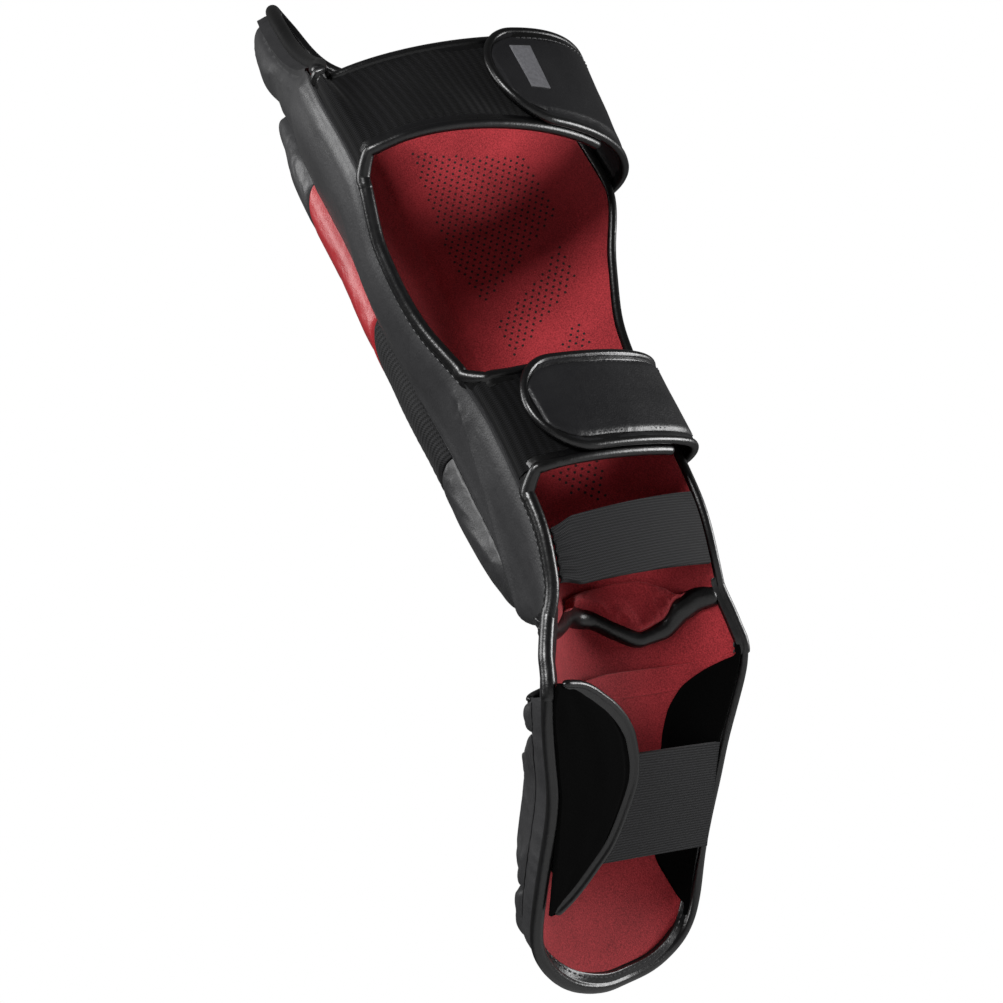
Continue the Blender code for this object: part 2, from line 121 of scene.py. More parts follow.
# Top of the lining's puffed end: length from the front centre and height.
ROLL_TOP = (
    (-54, 17), (-50, 20), (-42, 28), (-32, 34), (-18, 38), (-4, 39), (10, 37), (20, 31),
    (28, 26),
)

# Foot pad, in its own plane: along, half width, height of the edge, height of the lining.
FOOT_BEND = math.radians(44)
FOOT_ORIGIN = (1.5, -4.0, -4.0)
FOOT_STATIONS = (
    (-6, 60, 8, 32),
    (14, 64, 0, 30),
    (40, 59, 0, 28),
    (60, 54.5, 0, 28),
    (99, 53.5, 3, 29),
    (125, 53, 4, 25),
    (133, 51, 3, 21),
    (141, 46.5, 1, 14),
    (148, 40.5, -0.5, 8),
    (153, 33, -1.5, 3.5),
    (157, 22, -2.5, 0),
    (160, 9, -3, -2),
)
FOOT_TOE = 160.5
FOOT_LAYERS_END = 146
FOOT_TOP_FRONT = 3
FOOT_TOP_SIDE = -8.5
FOOT_EDGE_THICK = 6
FOOT_FULL_THICK = 8

# Straps: lowest and highest z, half width and y of their ends, y at the middle of the back,
# twist of the top edge, drop of the elastic below the strap, angle of the strap's free end.
UPPER = {
    "name": "upper", "low": 230, "high": 280, "half": 79, "end_y": 40, "back_y": 72,
    "turn": 0.26, "drop": 2, "free": 82,
}
LOWER = {
    "name": "lower", "low": 80, "high": 124, "half": 52, "end_y": 20, "back_y": 31,
    "turn": 0.06, "drop": 4, "free": 36,
}
ELASTIC_END = 128
ELASTIC_THICK = 1.6
HOOK_NEAR = 2.8
HOOK_THICK = 0.8
STRAP_NEAR = 3.95
STRAP_THICK = 2.6
STRAP_ROUND = 20
# How far a strap's root is sewn down before the shell's edge, and the lift of its edge roll.
STRAP_ROOT = 34
STRAP_EDGE_LIFT = 1.4
# Length of an elastic that is sewn down on the shell.
ELASTIC_ROOT = 7
# Ankle elastic: height of its lower edge at the -X end, and its width at the middle.
ANKLE_BAND_LOW = 28
ANKLE_BAND_WIDE = 30
# Foot elastic: x of its +X end and its span to the other end, place along the pad of its upper
# edge at the +X end, how far it slants from there, its width and how much it widens.
FOOT_BAND_X = 53.5
FOOT_BAND_SPAN = 108
FOOT_BAND_T = 43.5
FOOT_BAND_SLANT = 11.5
FOOT_BAND_WIDE = 49
FOOT_BAND_WIDENS = 3.5
# Blank label on the upper strap: its angle round the band, length, lowest and highest z.
LABEL_ANGLE = 100
LABEL_LONG = 11.5
LABEL_LOW = 246
LABEL_HIGH = 271

# Front bar: half width and distance of its top from the lining's inside, by height.
BAR_HALF = (
    (42, 30), (50, 36), (60, 39), (92, 37), (118, 38), (150, 41), (200, 42), (240, 41),
    (290, 42), (306, 36), (322, 28), (334, 22), (340, 16), (344, 9),
)
BAR_TOP = (
    (42, 21), (50, 22), (60, 24), (80, 26), (92, 26.5), (130, 26), (150, 25), (170, 24),
    (254, 24), (300, 23.5), (320, 22), (336, 20), (344, 17),
)
# Joints between the bar's segments: height at the bar's side, and how much lower at its middle.
BAR_JOINTS = ((42, 0), (114, 10), (195, 35), (277, 23), (344, 0))
# Fold of the outer leather down each side panel: height and length from the front centre.
CREASE = (
    (20, 34), (60, 44), (94, 56), (150, 84), (186, 104), (206, 106), (246, 109), (272, 106),
    (305, 88), (338, 66), (362, 44), (400, 14),
)


# ---------------------------------------------------------------- curves and surfaces


def curve(keys, x):
    """Monotone cubic through the (x, y) keys, held level past both ends."""
    xs, ys = np.array(keys, float).T
    step = np.diff(xs)
    slope = np.diff(ys) / step
    tangent = np.zeros(len(xs))
    tangent[0], tangent[-1] = slope[0], slope[-1]
    before, after = slope[:-1], slope[1:]
    same = before * after > 0
    tangent[1:-1][same] = 2 * before[same] * after[same] / (before + after)[same]
    x = np.clip(np.asarray(x, float), xs[0], xs[-1])
    i = np.clip(np.searchsorted(xs, x) - 1, 0, len(step) - 1)
    t = (x - xs[i]) / step[i]
    return (
        (2 * t**3 - 3 * t**2 + 1) * ys[i]
        + (t**3 - 2 * t**2 + t) * step[i] * tangent[i]
        + (3 * t**2 - 2 * t**3) * ys[i + 1]
        + (t**3 - t**2) * step[i] * tangent[i + 1]
    )


def ease(t):
    """Smooth step from 0 at 0 to 1 at 1, level on both sides."""
    t = np.clip(t, 0.0, 1.0)
    return t * t * (3 - 2 * t)


def quarter(t):
    """A quarter of a circle from 0 up to 1, level after."""
    t = np.clip(t, 0.0, 1.0)
    return np.sqrt(np.maximum(1 - (1 - t) ** 2, 0.0))


def bump(x, width):
    """A rounded ridge of height 1 at 0."""
    return np.exp(-((np.asarray(x) / width) ** 2))


def lengths_along(points):
    """Length of a path from its start up to each of its points."""
    return np.concatenate([[0], np.cumsum(np.linalg.norm(np.diff(points, axis=0), axis=1))])


def read_columns(at, known, rows):
    """Rows of values read at other places than the known ones, column by column."""
    return np.stack([np.interp(at, known, column) for column in rows.T], axis=1)


def smoothed(rows, times):
    """Rows averaged with their neighbours, all but the first and the last."""
    for _ in range(times):
        rows[1:-1] = 0.25 * rows[:-2] + 0.5 * rows[1:-1] + 0.25 * rows[2:]
    return rows


class Loft:
    """A U-shaped surface, read by length along the section, place along the loft, distance out."""

    SHARES = 161

    def __init__(self, stations, corners, first, last):
        self.places = np.arange(first, last + 1.0, 2.0)
        columns = [
            curve([(row[0], row[k]) for row in stations], self.places) for k in (1, 2, 3)
        ]
        t = np.linspace(0, 1, self.SHARES)[:, None]
        q = 1 - t
        lengths, tables = [], []
        for values in zip(*columns):
            p0, p1, p2, p3 = (np.array(c, float) for c in corners(*values))
            points = q**3 * p0 + 3 * q * q * t * p1 + 3 * q * t * t * p2 + t**3 * p3
            along = np.concatenate([[0], np.cumsum(np.hypot(*np.diff(points, axis=0).T))])
            heading = np.gradient(points, axis=0)
            heading /= np.hypot(*heading.T)[:, None]
            even = np.linspace(0, along[-1], self.SHARES)
            both = np.hstack([points, heading])
            tables.append(read_columns(even, along, both))
            lengths.append(along[-1])
        self.lengths = np.array(lengths)
        self.table = np.array(tables)

    def length(self, place):
        return np.interp(place, self.places, self.lengths)

    def at(self, s, place, out):
        s, place, out = np.broadcast_arrays(*(np.asarray(v, float) for v in (s, place, out)))
        far = np.abs(s)
        whole = self.length(place)
        row = np.clip((place - self.places[0]) / 2.0, 0, len(self.places) - 1.001)
        column = np.clip(far / whole, 0, 1) * (self.SHARES - 1.001)
        i, j = row.astype(int), column.astype(int)
        f, g = (row - i)[..., None], (column - j)[..., None]
        read = (1 - f) * ((1 - g) * self.table[i, j] + g * self.table[i, j + 1]) + f * (
            (1 - g) * self.table[i + 1, j] + g * self.table[i + 1, j + 1]
        )
        x, y, hx, hy = np.moveaxis(read, -1, 0)
        size = np.hypot(hx, hy)
        hx, hy = hx / size, hy / size
        extra = np.maximum(far - whole, 0.0)
        x = x + hx * extra + hy * out
        y = y + hy * extra - hx * out
        return np.where(s < 0, -x, x), y


def shin_corners(half, edge_y, front_y):
    """Control points of the shell's half section, from the front centre to the edge."""
    bend = (0.78 * half, front_y + 0.5 * (edge_y - front_y))
    return (0, front_y), (0.24 * half, front_y), bend, (half, edge_y)


def foot_corners(half, edge_h, lining_h):
    """Control points of the foot pad's half section, in its own plane."""
    depth = lining_h - edge_h
    return (0, -lining_h), (0.5 * half, -lining_h), (0.95 * half, -edge_h - 0.5 * depth), (half, -edge_h)


SHIN = Loft(SHIN_STATIONS, shin_corners, -10, 430)
FOOT = Loft(FOOT_STATIONS, foot_corners, -20, 164)


def shin(s, z, out):
    """A point of the shell: signed length from the front centre, height, distance out."""
    x, y = SHIN.at(s, z, out)
    return np.stack([x, y, np.broadcast_to(z, x.shape)], axis=-1)


def shin_reach(z, side):
    """Length from the front centre to the shell's edge, on the side that side's sign gives."""
    share = np.where(np.asarray(side) > 0, curve(OUTER_REACH, z), curve(INNER_REACH, z))
    return SHIN.length(z) * share


def shin_thickness(s, z):
    """Thickness of the shell: full inside, thin at the edge, deep at the knee tip."""
    tongue = ease((z - 345) / 25)
    edge = SHIN_EDGE_THICK + (TONGUE_EDGE_THICK - SHIN_EDGE_THICK) * tongue
    full = SHIN_FULL_THICK + (TONGUE_THICK - SHIN_FULL_THICK) * tongue
    built_up = LOW_RISE * ease((54 - np.abs(s)) / 24) * ease((175 - z) / 45)
    return edge + (full - edge) * ease(shin_spare(s, z) / EDGE_TAPER) + built_up


def shin_spare(s, z):
    """Length of shell that is left between a point and the nearer edge."""
    return np.minimum(shin_reach(z, 1) - s, shin_reach(z, -1) + s)


def foot_plane(x, height, t):
    """A point of the foot pad's own frame: height is away from the foot, t runs to the toes."""
    sine, cosine = math.sin(FOOT_BEND), math.cos(FOOT_BEND)
    x, height, t = np.broadcast_arrays(*(np.asarray(v, float) for v in (x, height, t)))
    return np.stack(
        [
            FOOT_ORIGIN[0] + x,
            FOOT_ORIGIN[1] - cosine * height - sine * t,
            FOOT_ORIGIN[2] + sine * height - cosine * t,
        ],
        axis=-1,
    )


def foot_way(x, height, t):
    """A direction in the foot pad's own frame."""
    return foot_plane(x, height, t) - foot_plane(0, 0, 0)


def foot(s, t, out):
    """A point of the foot pad, whose toe end leans a little towards the inner side."""
    x, y = FOOT.at(s, t, out)
    return foot_plane(x - 4.0 * ease((np.asarray(t) - 128) / 28), -y, t)


def foot_thickness(s, t):
    """Thickness of the foot pad, thinner towards its edge."""
    spare = FOOT.length(t) - np.abs(s)
    return FOOT_EDGE_THICK + (FOOT_FULL_THICK - FOOT_EDGE_THICK) * ease(spare / EDGE_TAPER)


def foot_top(u, rise=0.0):
    """How far along the pad the ankle line lies at the share u of its half width."""
    z = FOOT_TOP_FRONT + (FOOT_TOP_SIDE - FOOT_TOP_FRONT) * np.abs(u) ** 1.5 + rise
    t = np.full(np.shape(u), 10.0)
    for _ in range(12):
        depth = FOOT.at(u * (FOOT.length(t) - 4.2), t, FOOT_EDGE_THICK / 2)[1]
        t = (FOOT_ORIGIN[2] - math.sin(FOOT_BEND) * depth - z) / math.cos(FOOT_BEND)
    return t


def foot_half(t):
    """Half width of the foot pad at its edge."""
    return curve([(row[0], row[1]) for row in FOOT_STATIONS], t)


def band_point(band, angle, z, out):
    """A point of a strap's path: a half ellipse from the +X end, whose top edge is turned."""
    angle, z, out = np.broadcast_arrays(*(np.asarray(v, float) for v in (angle, z, out)))
    a, b = band["half"], band["back_y"] - band["end_y"]
    x, y = a * np.cos(angle), b * np.sin(angle)
    nx, ny = x / a**2, y / b**2
    size = np.hypot(nx, ny)
    turn = band["turn"] * (z - band["low"]) / (band["high"] - band["low"])
    turn = turn * ease(6 * angle / math.pi) * ease(2 - 2 * angle / math.pi)
    return np.stack([x + out * nx / size, band["end_y"] + y - turn * x + out * ny / size, z], axis=-1)


def band_table(band):
    """Angles along the band and the length of the path from the +X end up to each."""
    angle = np.linspace(0, math.pi, 361)
    x = band["half"] * np.cos(angle)
    y = (band["back_y"] - band["end_y"]) * np.sin(angle)
    along = np.concatenate([[0], np.cumsum(np.hypot(np.diff(x), np.diff(y)))])
    return angle, along


def elastic_point(band, along, z, lift):
    """A point of the elastic: it leaves the middle of the shell's edge and follows the band."""
    angle, length = band_table(band)
    on_band = band_point(band, np.interp(along, length, angle), z, lift)
    inside = shin(shin_reach(z, 1) + along, z, lift + 1.6)
    share = ease((np.asarray(along, float) + 2) / 16)[..., None]
    return inside * (1 - share) + on_band * share


def strap_point(band, along, z, lift):
    """A point of the leather strap, by length past the -X edge: before 0 it lies on the shell."""
    angle, length = band_table(band)
    along = np.asarray(along, float)
    theta = np.interp(length[-1] - np.maximum(along, 0), length, angle)
    on_band = band_point(band, theta, z, STRAP_NEAR + lift)
    on_band[..., 1] += np.minimum(along, 0)
    s = -(shin_reach(z, -1) + along)
    on_shell = shin(s, z, shin_thickness(s, z) + 0.9 + lift)
    share = ease((along + 8) / 26)[..., None]
    return on_shell * (1 - share) + on_band * share


# ---------------------------------------------------------------- noise


def noise(x, y, seed):
    """Smooth value noise between -1 and 1 with one lattice cell a unit."""
    table = np.random.RandomState(seed).uniform(-1, 1, (64, 64))
    x, y = np.broadcast_arrays(np.asarray(x, float), np.asarray(y, float))
    i, j = np.floor(x).astype(int), np.floor(y).astype(int)
    f, g = ease(x - i), ease(y - j)
    i0, j0, i1, j1 = i % 64, j % 64, (i + 1) % 64, (j + 1) % 64
    return (table[i0, j0] * (1 - f) + table[i1, j0] * f) * (1 - g) + (
        table[i0, j1] * (1 - f) + table[i1, j1] * f
    ) * g


def creases(along, away, seed, pitch=6.0, depth=18.0):
    """Short leather wrinkles that start at a seam, run away from it and fade."""
    drift = along + 2.2 * noise(along / 19, away / 11, seed + 1) + 0.25 * away
    wide = np.abs(noise(drift / pitch, away / 34, seed))
    fine = np.abs(noise(drift / pitch * 2.3, away / 20, seed + 5))
    ridge = np.maximum(1 - wide * 3.0, 0) + 0.45 * np.maximum(1 - fine * 3.2, 0)
    fade = ease(1 - away / depth) * (0.3 + 0.7 * ease(0.5 + noise(along / 17, 0.3, seed + 2)))
    return ridge * fade


# ---------------------------------------------------------------- meshes


def add_mesh(name, points, faces, skin, fabric=None):
    """A smooth-shaded mesh object from points in millimetres, with its faces turned out."""
    data = bpy.data.meshes.new(name)
    data.from_pydata((np.asarray(points) * MM).tolist(), [], faces)
    data.validate()
    shape = bmesh.new()
    shape.from_mesh(data)
    if shape.calc_volume(signed=True) < 0:
        bmesh.ops.reverse_faces(shape, faces=shape.faces)
    shape.to_mesh(data)
    shape.free()
    if fabric is not None:
        layer = data.attributes.new("fabric", "FLOAT_VECTOR", "POINT")
        layer.data.foreach_set("vector", np.asarray(fabric, np.float32).ravel())
    data.shade_smooth()
    data.set_sharp_from_angle(angle=math.radians(55))
    data.materials.append(skin)
    made = bpy.data.objects.new(name, data)
    bpy.context.scene.collection.objects.link(made)
    return made


def solid(name, inner, outer, skin):
    """Closed solid between two grids of points, shaped (rows, columns, 3)."""
    rows, columns = inner.shape[:2]
    count = rows * columns
    index = np.arange(count).reshape(rows, columns)
    quads = np.stack([index[:-1, :-1], index[:-1, 1:], index[1:, 1:], index[1:, :-1]], axis=-1)
    quads = quads.reshape(-1, 4)
    rim = np.concatenate([index[0, :], index[1:, -1], index[-1, -2::-1], index[-2:0:-1, 0]])
    after = np.roll(rim, -1)
    sides = np.stack([rim, rim + count, after + count, after], axis=1)
    faces = np.concatenate([quads[:, ::-1], quads + count, sides[:, ::-1]])
    across = np.cumsum(np.linalg.norm(np.diff(outer, axis=1, prepend=outer[:, :1]), axis=2), axis=1)
    along = np.cumsum(np.linalg.norm(np.diff(outer, axis=0, prepend=outer[:1]), axis=2), axis=0)
    middle = across[:, [columns // 2]]
    fabric = np.stack([across - middle, along, np.zeros_like(along)], axis=-1).reshape(-1, 3)
    points = np.concatenate([inner.reshape(-1, 3), outer.reshape(-1, 3)])
    return add_mesh(name, points, faces.tolist(), skin, np.concatenate([fabric, fabric]))


def frames(path, normal, panel=None):
    """Unit across and normal of a path. Across points away from the panel's points."""
    tangent = np.gradient(path, axis=0)
    tangent /= np.linalg.norm(tangent, axis=1)[:, None]
    normal = normal - np.sum(normal * tangent, axis=1)[:, None] * tangent
    normal /= np.linalg.norm(normal, axis=1)[:, None]
    across = np.cross(tangent, normal)
    if panel is not None:
        turned = np.sum(across * (path - panel)) < 0
        across = -across if turned else across
    return across, normal


def sweep_mesh(path, across, normal, profile, round_ends=2.5):
    """Points and faces of a profile, given as (across, normal) rows, carried along a path."""
    along = lengths_along(path)
    ends = np.clip(np.minimum(along, along[-1] - along) / round_ends, 0, 1)
    scale = np.sqrt(np.maximum(1 - (1 - ends) ** 2, 0.03))[:, None, None]
    profile = np.asarray(profile, float)
    if profile.ndim == 2:
        profile = np.broadcast_to(profile, (len(path), *profile.shape))
    profile = profile * scale
    points = (
        path[:, None]
        + profile[..., 0:1] * across[:, None]
        + profile[..., 1:2] * normal[:, None]
    )
    rings, sides = profile.shape[:2]
    index = np.arange(rings * sides).reshape(rings, sides)
    after = np.roll(index, -1, axis=1)
    quads = np.stack([index[:-1], after[:-1], after[1:], index[1:]], axis=-1).reshape(-1, 4)
    faces = quads.tolist()
    faces.append(index[0][::-1].tolist())
    faces.append(index[-1].tolist())
    fabric = np.zeros((rings, sides, 3))
    fabric[..., 0] = np.linspace(0, 10, sides)
    fabric[..., 1] = along[:, None]
    return points.reshape(-1, 3), faces, fabric.reshape(-1, 3)


def joined(name, pieces, skin):
    """One object from several (points, faces, fabric) meshes, each turned out."""
    all_points, all_faces, all_fabric, start = [], [], [], 0
    for points, faces, fabric in pieces:
        if signed_volume(points, faces) < 0:
            faces = [face[::-1] for face in faces]
        all_points.append(points)
        all_fabric.append(fabric)
        all_faces += [[start + i for i in face] for face in faces]
        start += len(points)
    return add_mesh(name, np.concatenate(all_points), all_faces, skin, np.concatenate(all_fabric))


def signed_volume(points, faces):
    """Six times the volume inside the faces, below 0 when they point in."""
    total = 0.0
    for face in faces:
        a = points[face[0]]
        for i in range(1, len(face) - 1):
            total += np.dot(a, np.cross(points[face[i]], points[face[i + 1]]))
    return total


def resample(points, spacing):
    """Even points along a smooth curve through the given ones."""
    points = np.asarray(points, float)
    before, after = 2 * points[0] - points[1], 2 * points[-1] - points[-2]
    p = np.vstack([before, points, after])
    t = np.linspace(0, 1, 12, endpoint=False)[:, None]
    fine = []
    for a, b, c, d in zip(p[:-3], p[1:-2], p[2:-1], p[3:]):
        fine.append(
            0.5 * (2 * b + (c - a) * t + (2 * a - 5 * b + 4 * c - d) * t**2 + (3 * b - a - 3 * c + d) * t**3)
        )
    fine = np.vstack([*fine, points[-1]])
    along = lengths_along(fine[:, :3])
    even = np.linspace(0, along[-1], max(int(along[-1] / spacing), 4) + 1)
    return read_columns(even, along, fine)


def tape(points, normals, away, profile, spacing=1.5, scale=None, smooth=0):
    """A tape swept along a path. Normals are given at the points, and away is the direction of
    its free edge at the path's start. Gives the mesh, then the path, across and normal."""
    size = np.ones(len(points)) if scale is None else scale
    both = resample(np.hstack([points, normals, size[:, None]]), spacing)
    both = smoothed(both, smooth)
    path = both[:, :3]
    across, normal = frames(path, both[:, 3:6])
    if np.dot(across[1], away) < 0:
        across = -across
    profile = np.asarray(profile)[None] * both[:, 6][:, None, None]
    return sweep_mesh(path, across, normal, profile), path, across, normal


def tape_roll(radius, flange, drop=0.0):
    """Profile of a leather tape rolled over an edge: a round roll and a flat lip on each face."""
    profile = [(radius * math.cos(a), radius * math.sin(a)) for a in np.radians(np.linspace(-118, 118, 15))]
    top = radius * 0.62 - drop
    lip = [
        (-0.62 * radius, top),
        (-0.8 * radius, top - 0.25),
        (-flange + 0.5, top - 0.2),
        (-flange, top - 0.6),
        (-flange + 0.3, top - 1.3),
    ]
    back = [(x, -y) for x, y in reversed(lip)]
    return np.array(profile + lip + back)


def stitch_row(path, normal, pitch=3.4, length=2.5, radius=0.38):
    """Thread stitches along a path: short capsules whose ends dip into the panel."""
    path = resample(path, 0.8)
    if len(normal) != len(path):
        at = np.linspace(0, 1, len(normal))
        fine = np.linspace(0, 1, len(path))
        normal = read_columns(fine, at, normal)
    across, normal = frames(path, normal)
    along = lengths_along(path)
    centres = np.arange(pitch / 2, along[-1], pitch)
    rings = np.array([-0.5, -0.42, -0.2, 0.2, 0.42, 0.5])
    sizes = np.array([0.3, 0.85, 1.0, 1.0, 0.85, 0.3])
    turn = np.linspace(0, 2 * math.pi, 6, endpoint=False)
    points, faces = [], []
    for number, centre in enumerate(centres):
        spots = centre + rings * length
        origin = read_columns(spots, along, path)
        side = read_columns(spots, along, across)
        up = read_columns(spots, along, normal)
        origin = origin - up * (0.55 * (2 * np.abs(rings)) ** 3)[:, None] * radius * 2
        ring = (
            origin[:, None]
            + radius * sizes[:, None, None] * np.cos(turn)[None, :, None] * side[:, None]
            + radius * sizes[:, None, None] * np.sin(turn)[None, :, None] * up[:, None]
        )
        points.append(ring.reshape(-1, 3))
        start = number * len(rings) * 6
        for r in range(len(rings) - 1):
            for k in range(6):
                a, b = start + r * 6 + k, start + r * 6 + (k + 1) % 6
                faces.append([a, b, b + 6, a + 6])
        faces.append(list(range(start + 5, start - 1, -1)))
        last = start + (len(rings) - 1) * 6
        faces.append(list(range(last, last + 6)))
    points = np.concatenate(points)
    return points, faces, np.zeros_like(points)


def stitches_both(path, across, normal, inset, lift):
    """A row of stitches on each face of a rolled tape's lip."""
    rows = []
    for height in (lift, -lift):
        row = path - across * inset + normal * height
        rows.append(stitch_row(row, normal * np.sign(height)))
    return rows


def puff(piece, held, pressure, spare_cloth, most, steps=20):
    """Fills a padded piece by cloth simulation between its held points, then fixes the result."""
    rest = np.array([v.co for v in piece.data.vertices])
    group = piece.vertex_groups.new(name="held")
    group.add(np.flatnonzero(held).tolist(), 1.0, "REPLACE")
    cloth = piece.modifiers.new("fill", "CLOTH")
    settings = cloth.settings
    settings.quality = 6
    settings.mass = 0.15
    settings.tension_stiffness = 25
    settings.compression_stiffness = 25
    settings.shear_stiffness = 12
    settings.bending_stiffness = 0.4
    settings.vertex_group_mass = "held"
    settings.pin_stiffness = 1.0
    settings.use_pressure = True
    settings.uniform_pressure_force = pressure
    settings.shrink_min = -spare_cloth
    settings.effector_weights.gravity = 0.0
    cloth.collision_settings.use_collision = False
    scene = bpy.context.scene
    for step in range(1, steps + 1):
        scene.frame_set(step)
    graph = bpy.context.evaluated_depsgraph_get()
    moved = np.array([v.co for v in piece.evaluated_get(graph).data.vertices])
    piece.modifiers.remove(cloth)
    scene.frame_set(1)
    piece.vertex_groups.remove(group)
    shift = moved - rest
    size = np.linalg.norm(shift, axis=1)
    shift *= np.minimum(1, most * MM / np.maximum(size, 1e-9))[:, None]
    shift[held] = 0
    piece.data.vertices.foreach_set("co", (rest + shift).ravel())
    piece.data.update()


def fill_face(piece, shape, face, pressure, spare_cloth, most):
    """Fills one face (0 inner, 1 outer) of a solid made of two grids, between its held edges."""
    inside = np.zeros(shape, bool)
    inside[1:-1, 1:-1] = True
    held = np.ones((2, inside.size), bool)
    held[face] = ~inside.ravel()
    puff(piece, held.ravel(), pressure, spare_cloth, most)


def smooth_once(piece):
    """One level of subdivision, the same in the viewport and the render."""
    piece.modifiers.new("surface", "SUBSURF").levels = 1
    piece.modifiers["surface"].render_levels = 1


# ---------------------------------------------------------------- materials


def new_material(name, roughness, **sockets):
    """A material and its shader, with values set on the shader's own sockets."""
    made = bpy.data.materials.new(name)
    made.use_nodes = True
    nodes = made.node_tree.nodes
    shader = nodes["Principled BSDF"]
    shader.inputs["Roughness"].default_value = roughness
    for socket, value in sockets.items():
        shader.inputs[socket.replace("_", " ")].default_value = value
    return made, nodes, made.node_tree.links, shader


def place(nodes, kind, **settings):
    """A new shader node with its properties or its inputs set by name."""
    node = nodes.new(kind)
    for key, value in settings.items():
        if hasattr(node, key):
            setattr(node, key, value)
        else:
            node.inputs[key].default_value = value
    return node


def ramp(nodes, links, source, low, high, first, second):
    """Two colours mixed by a value that is read between low and high."""
    node = nodes.new("ShaderNodeValToRGB")
    node.color_ramp.elements[0].position = low
    node.color_ramp.elements[1].position = high
    node.color_ramp.elements[0].color = (*first, 1)
    node.color_ramp.elements[1].color = (*second, 1)
    links.new(source, node.inputs["Fac"])
    return node.outputs["Color"]


def relief(nodes, links, height, strength, distance_mm, under=None):
    """Bump from a height, over an earlier bump where one is given."""
    node = place(nodes, "ShaderNodeBump", Strength=strength, Distance=distance_mm * MM)
    links.new(height, node.inputs["Height"])
    if under is not None:
        links.new(under, node.inputs["Normal"])
    return node.outputs["Normal"]


def ranged(nodes, links, source, low, high):
    """A value from 0 to 1 stretched to run from low to high."""
    node = nodes.new("ShaderNodeMapRange")
    node.inputs["To Min"].default_value = low
    node.inputs["To Max"].default_value = high
    links.new(source, node.inputs["Value"])
    return node.outputs["Result"]


def leather(name, dark, light, roughness, grain=0.22):
    """Coated leather: fine pebbled grain, pores, faint creases and uneven polish."""
    made, nodes, links, shader = new_material(
        name, roughness, Specular_IOR_Level=0.42, Coat_Weight=0.06, Coat_Roughness=0.3
    )
    where = nodes.new("ShaderNodeTexCoord").outputs["Object"]
    cells = place(nodes, "ShaderNodeTexVoronoi", feature="SMOOTH_F1", Scale=1100.0, Smoothness=0.6)
    soft = place(nodes, "ShaderNodeTexNoise", Scale=320.0, Detail=5.0, Roughness=0.6)
    wide = place(nodes, "ShaderNodeTexNoise", Scale=28.0, Detail=4.0, Roughness=0.55)
    for node in (cells, soft, wide):
        links.new(where, node.inputs["Vector"])
    links.new(
        ramp(nodes, links, wide.outputs["Fac"], 0.3, 0.75, dark, light), shader.inputs["Base Color"]
    )
    links.new(
        ranged(nodes, links, soft.outputs["Fac"], roughness - 0.1, roughness + 0.1),
        shader.inputs["Roughness"],
    )
    low = relief(nodes, links, soft.outputs["Fac"], 0.35, 0.35)
    links.new(relief(nodes, links, cells.outputs["Distance"], grain, 0.3, low), shader.inputs["Normal"])
    return made


def lining(name, dark, light):
    """Brushed knit lining: a fine speckle of two reds, a soft nap and a slight sheen."""
    made, nodes, links, shader = new_material(
        name, 0.82, Specular_IOR_Level=0.25, Sheen_Weight=0.35, Sheen_Roughness=0.45,
        Sheen_Tint=(0.9, 0.35, 0.35, 1),
    )
    where = nodes.new("ShaderNodeTexCoord").outputs["Object"]
    fine = place(nodes, "ShaderNodeTexNoise", Scale=1500.0, Detail=2.0, Roughness=0.7)
    wide = place(nodes, "ShaderNodeTexNoise", Scale=35.0, Detail=3.0)
    for node in (fine, wide):
        links.new(where, node.inputs["Vector"])
    mix = nodes.new("ShaderNodeMix")
    mix.data_type = "FLOAT"
    mix.inputs["Factor"].default_value = 0.25
    links.new(fine.outputs["Fac"], mix.inputs["A"])
    links.new(wide.outputs["Fac"], mix.inputs["B"])
    links.new(
        ramp(nodes, links, mix.outputs["Result"], 0.38, 0.62, dark, light), shader.inputs["Base Color"]
    )
    links.new(relief(nodes, links, fine.outputs["Fac"], 0.5, 0.35), shader.inputs["Normal"])
    return made


def woven(name, colour, pitch_along, pitch_across, roughness=0.8, strength=0.8, lengthwise=False):
    """Elastic webbing: raised ribs one way and fine yarns the other, read from the cloth's own
    millimetres. The grooves between them are coloured darker: painted shade."""
    made, nodes, links, shader = new_material(
        name, roughness, Specular_IOR_Level=0.12, Sheen_Weight=0.03, Sheen_Roughness=0.5
    )
    cloth = place(nodes, "ShaderNodeAttribute", attribute_name="fabric").outputs["Vector"]
    split = nodes.new("ShaderNodeSeparateXYZ")
    links.new(cloth, split.inputs["Vector"])
    waves = []
    for axis, pitch in (("X", pitch_across), ("Y", pitch_along)):
        turn = place(nodes, "ShaderNodeMath", operation="MULTIPLY")
        turn.inputs[1].default_value = 2 * math.pi / pitch
        links.new(split.outputs[axis], turn.inputs[0])
        wave = place(nodes, "ShaderNodeMath", operation="SINE")
        links.new(turn.outputs[0], wave.inputs[0])
        waves.append(wave.outputs[0])
    if lengthwise:
        waves.reverse()
    product = place(nodes, "ShaderNodeMath", operation="MULTIPLY_ADD")
    links.new(waves[0], product.inputs[0])
    links.new(waves[1], product.inputs[1])
    links.new(waves[1], product.inputs[2])
    shade = ranged(nodes, links, product.outputs[0], 0.0, 1.0)
    shade.node.inputs["From Min"].default_value = -2.0
    shade.node.inputs["From Max"].default_value = 2.0
    # Darker in the grooves of the weave, down to 0.15 of the colour: painted shade.
    dark = tuple(c * 0.15 for c in colour)
    links.new(ramp(nodes, links, shade, 0.3, 0.8, dark, colour), shader.inputs["Base Color"])
    links.new(relief(nodes, links, shade, strength, 0.35), shader.inputs["Normal"])
    return made


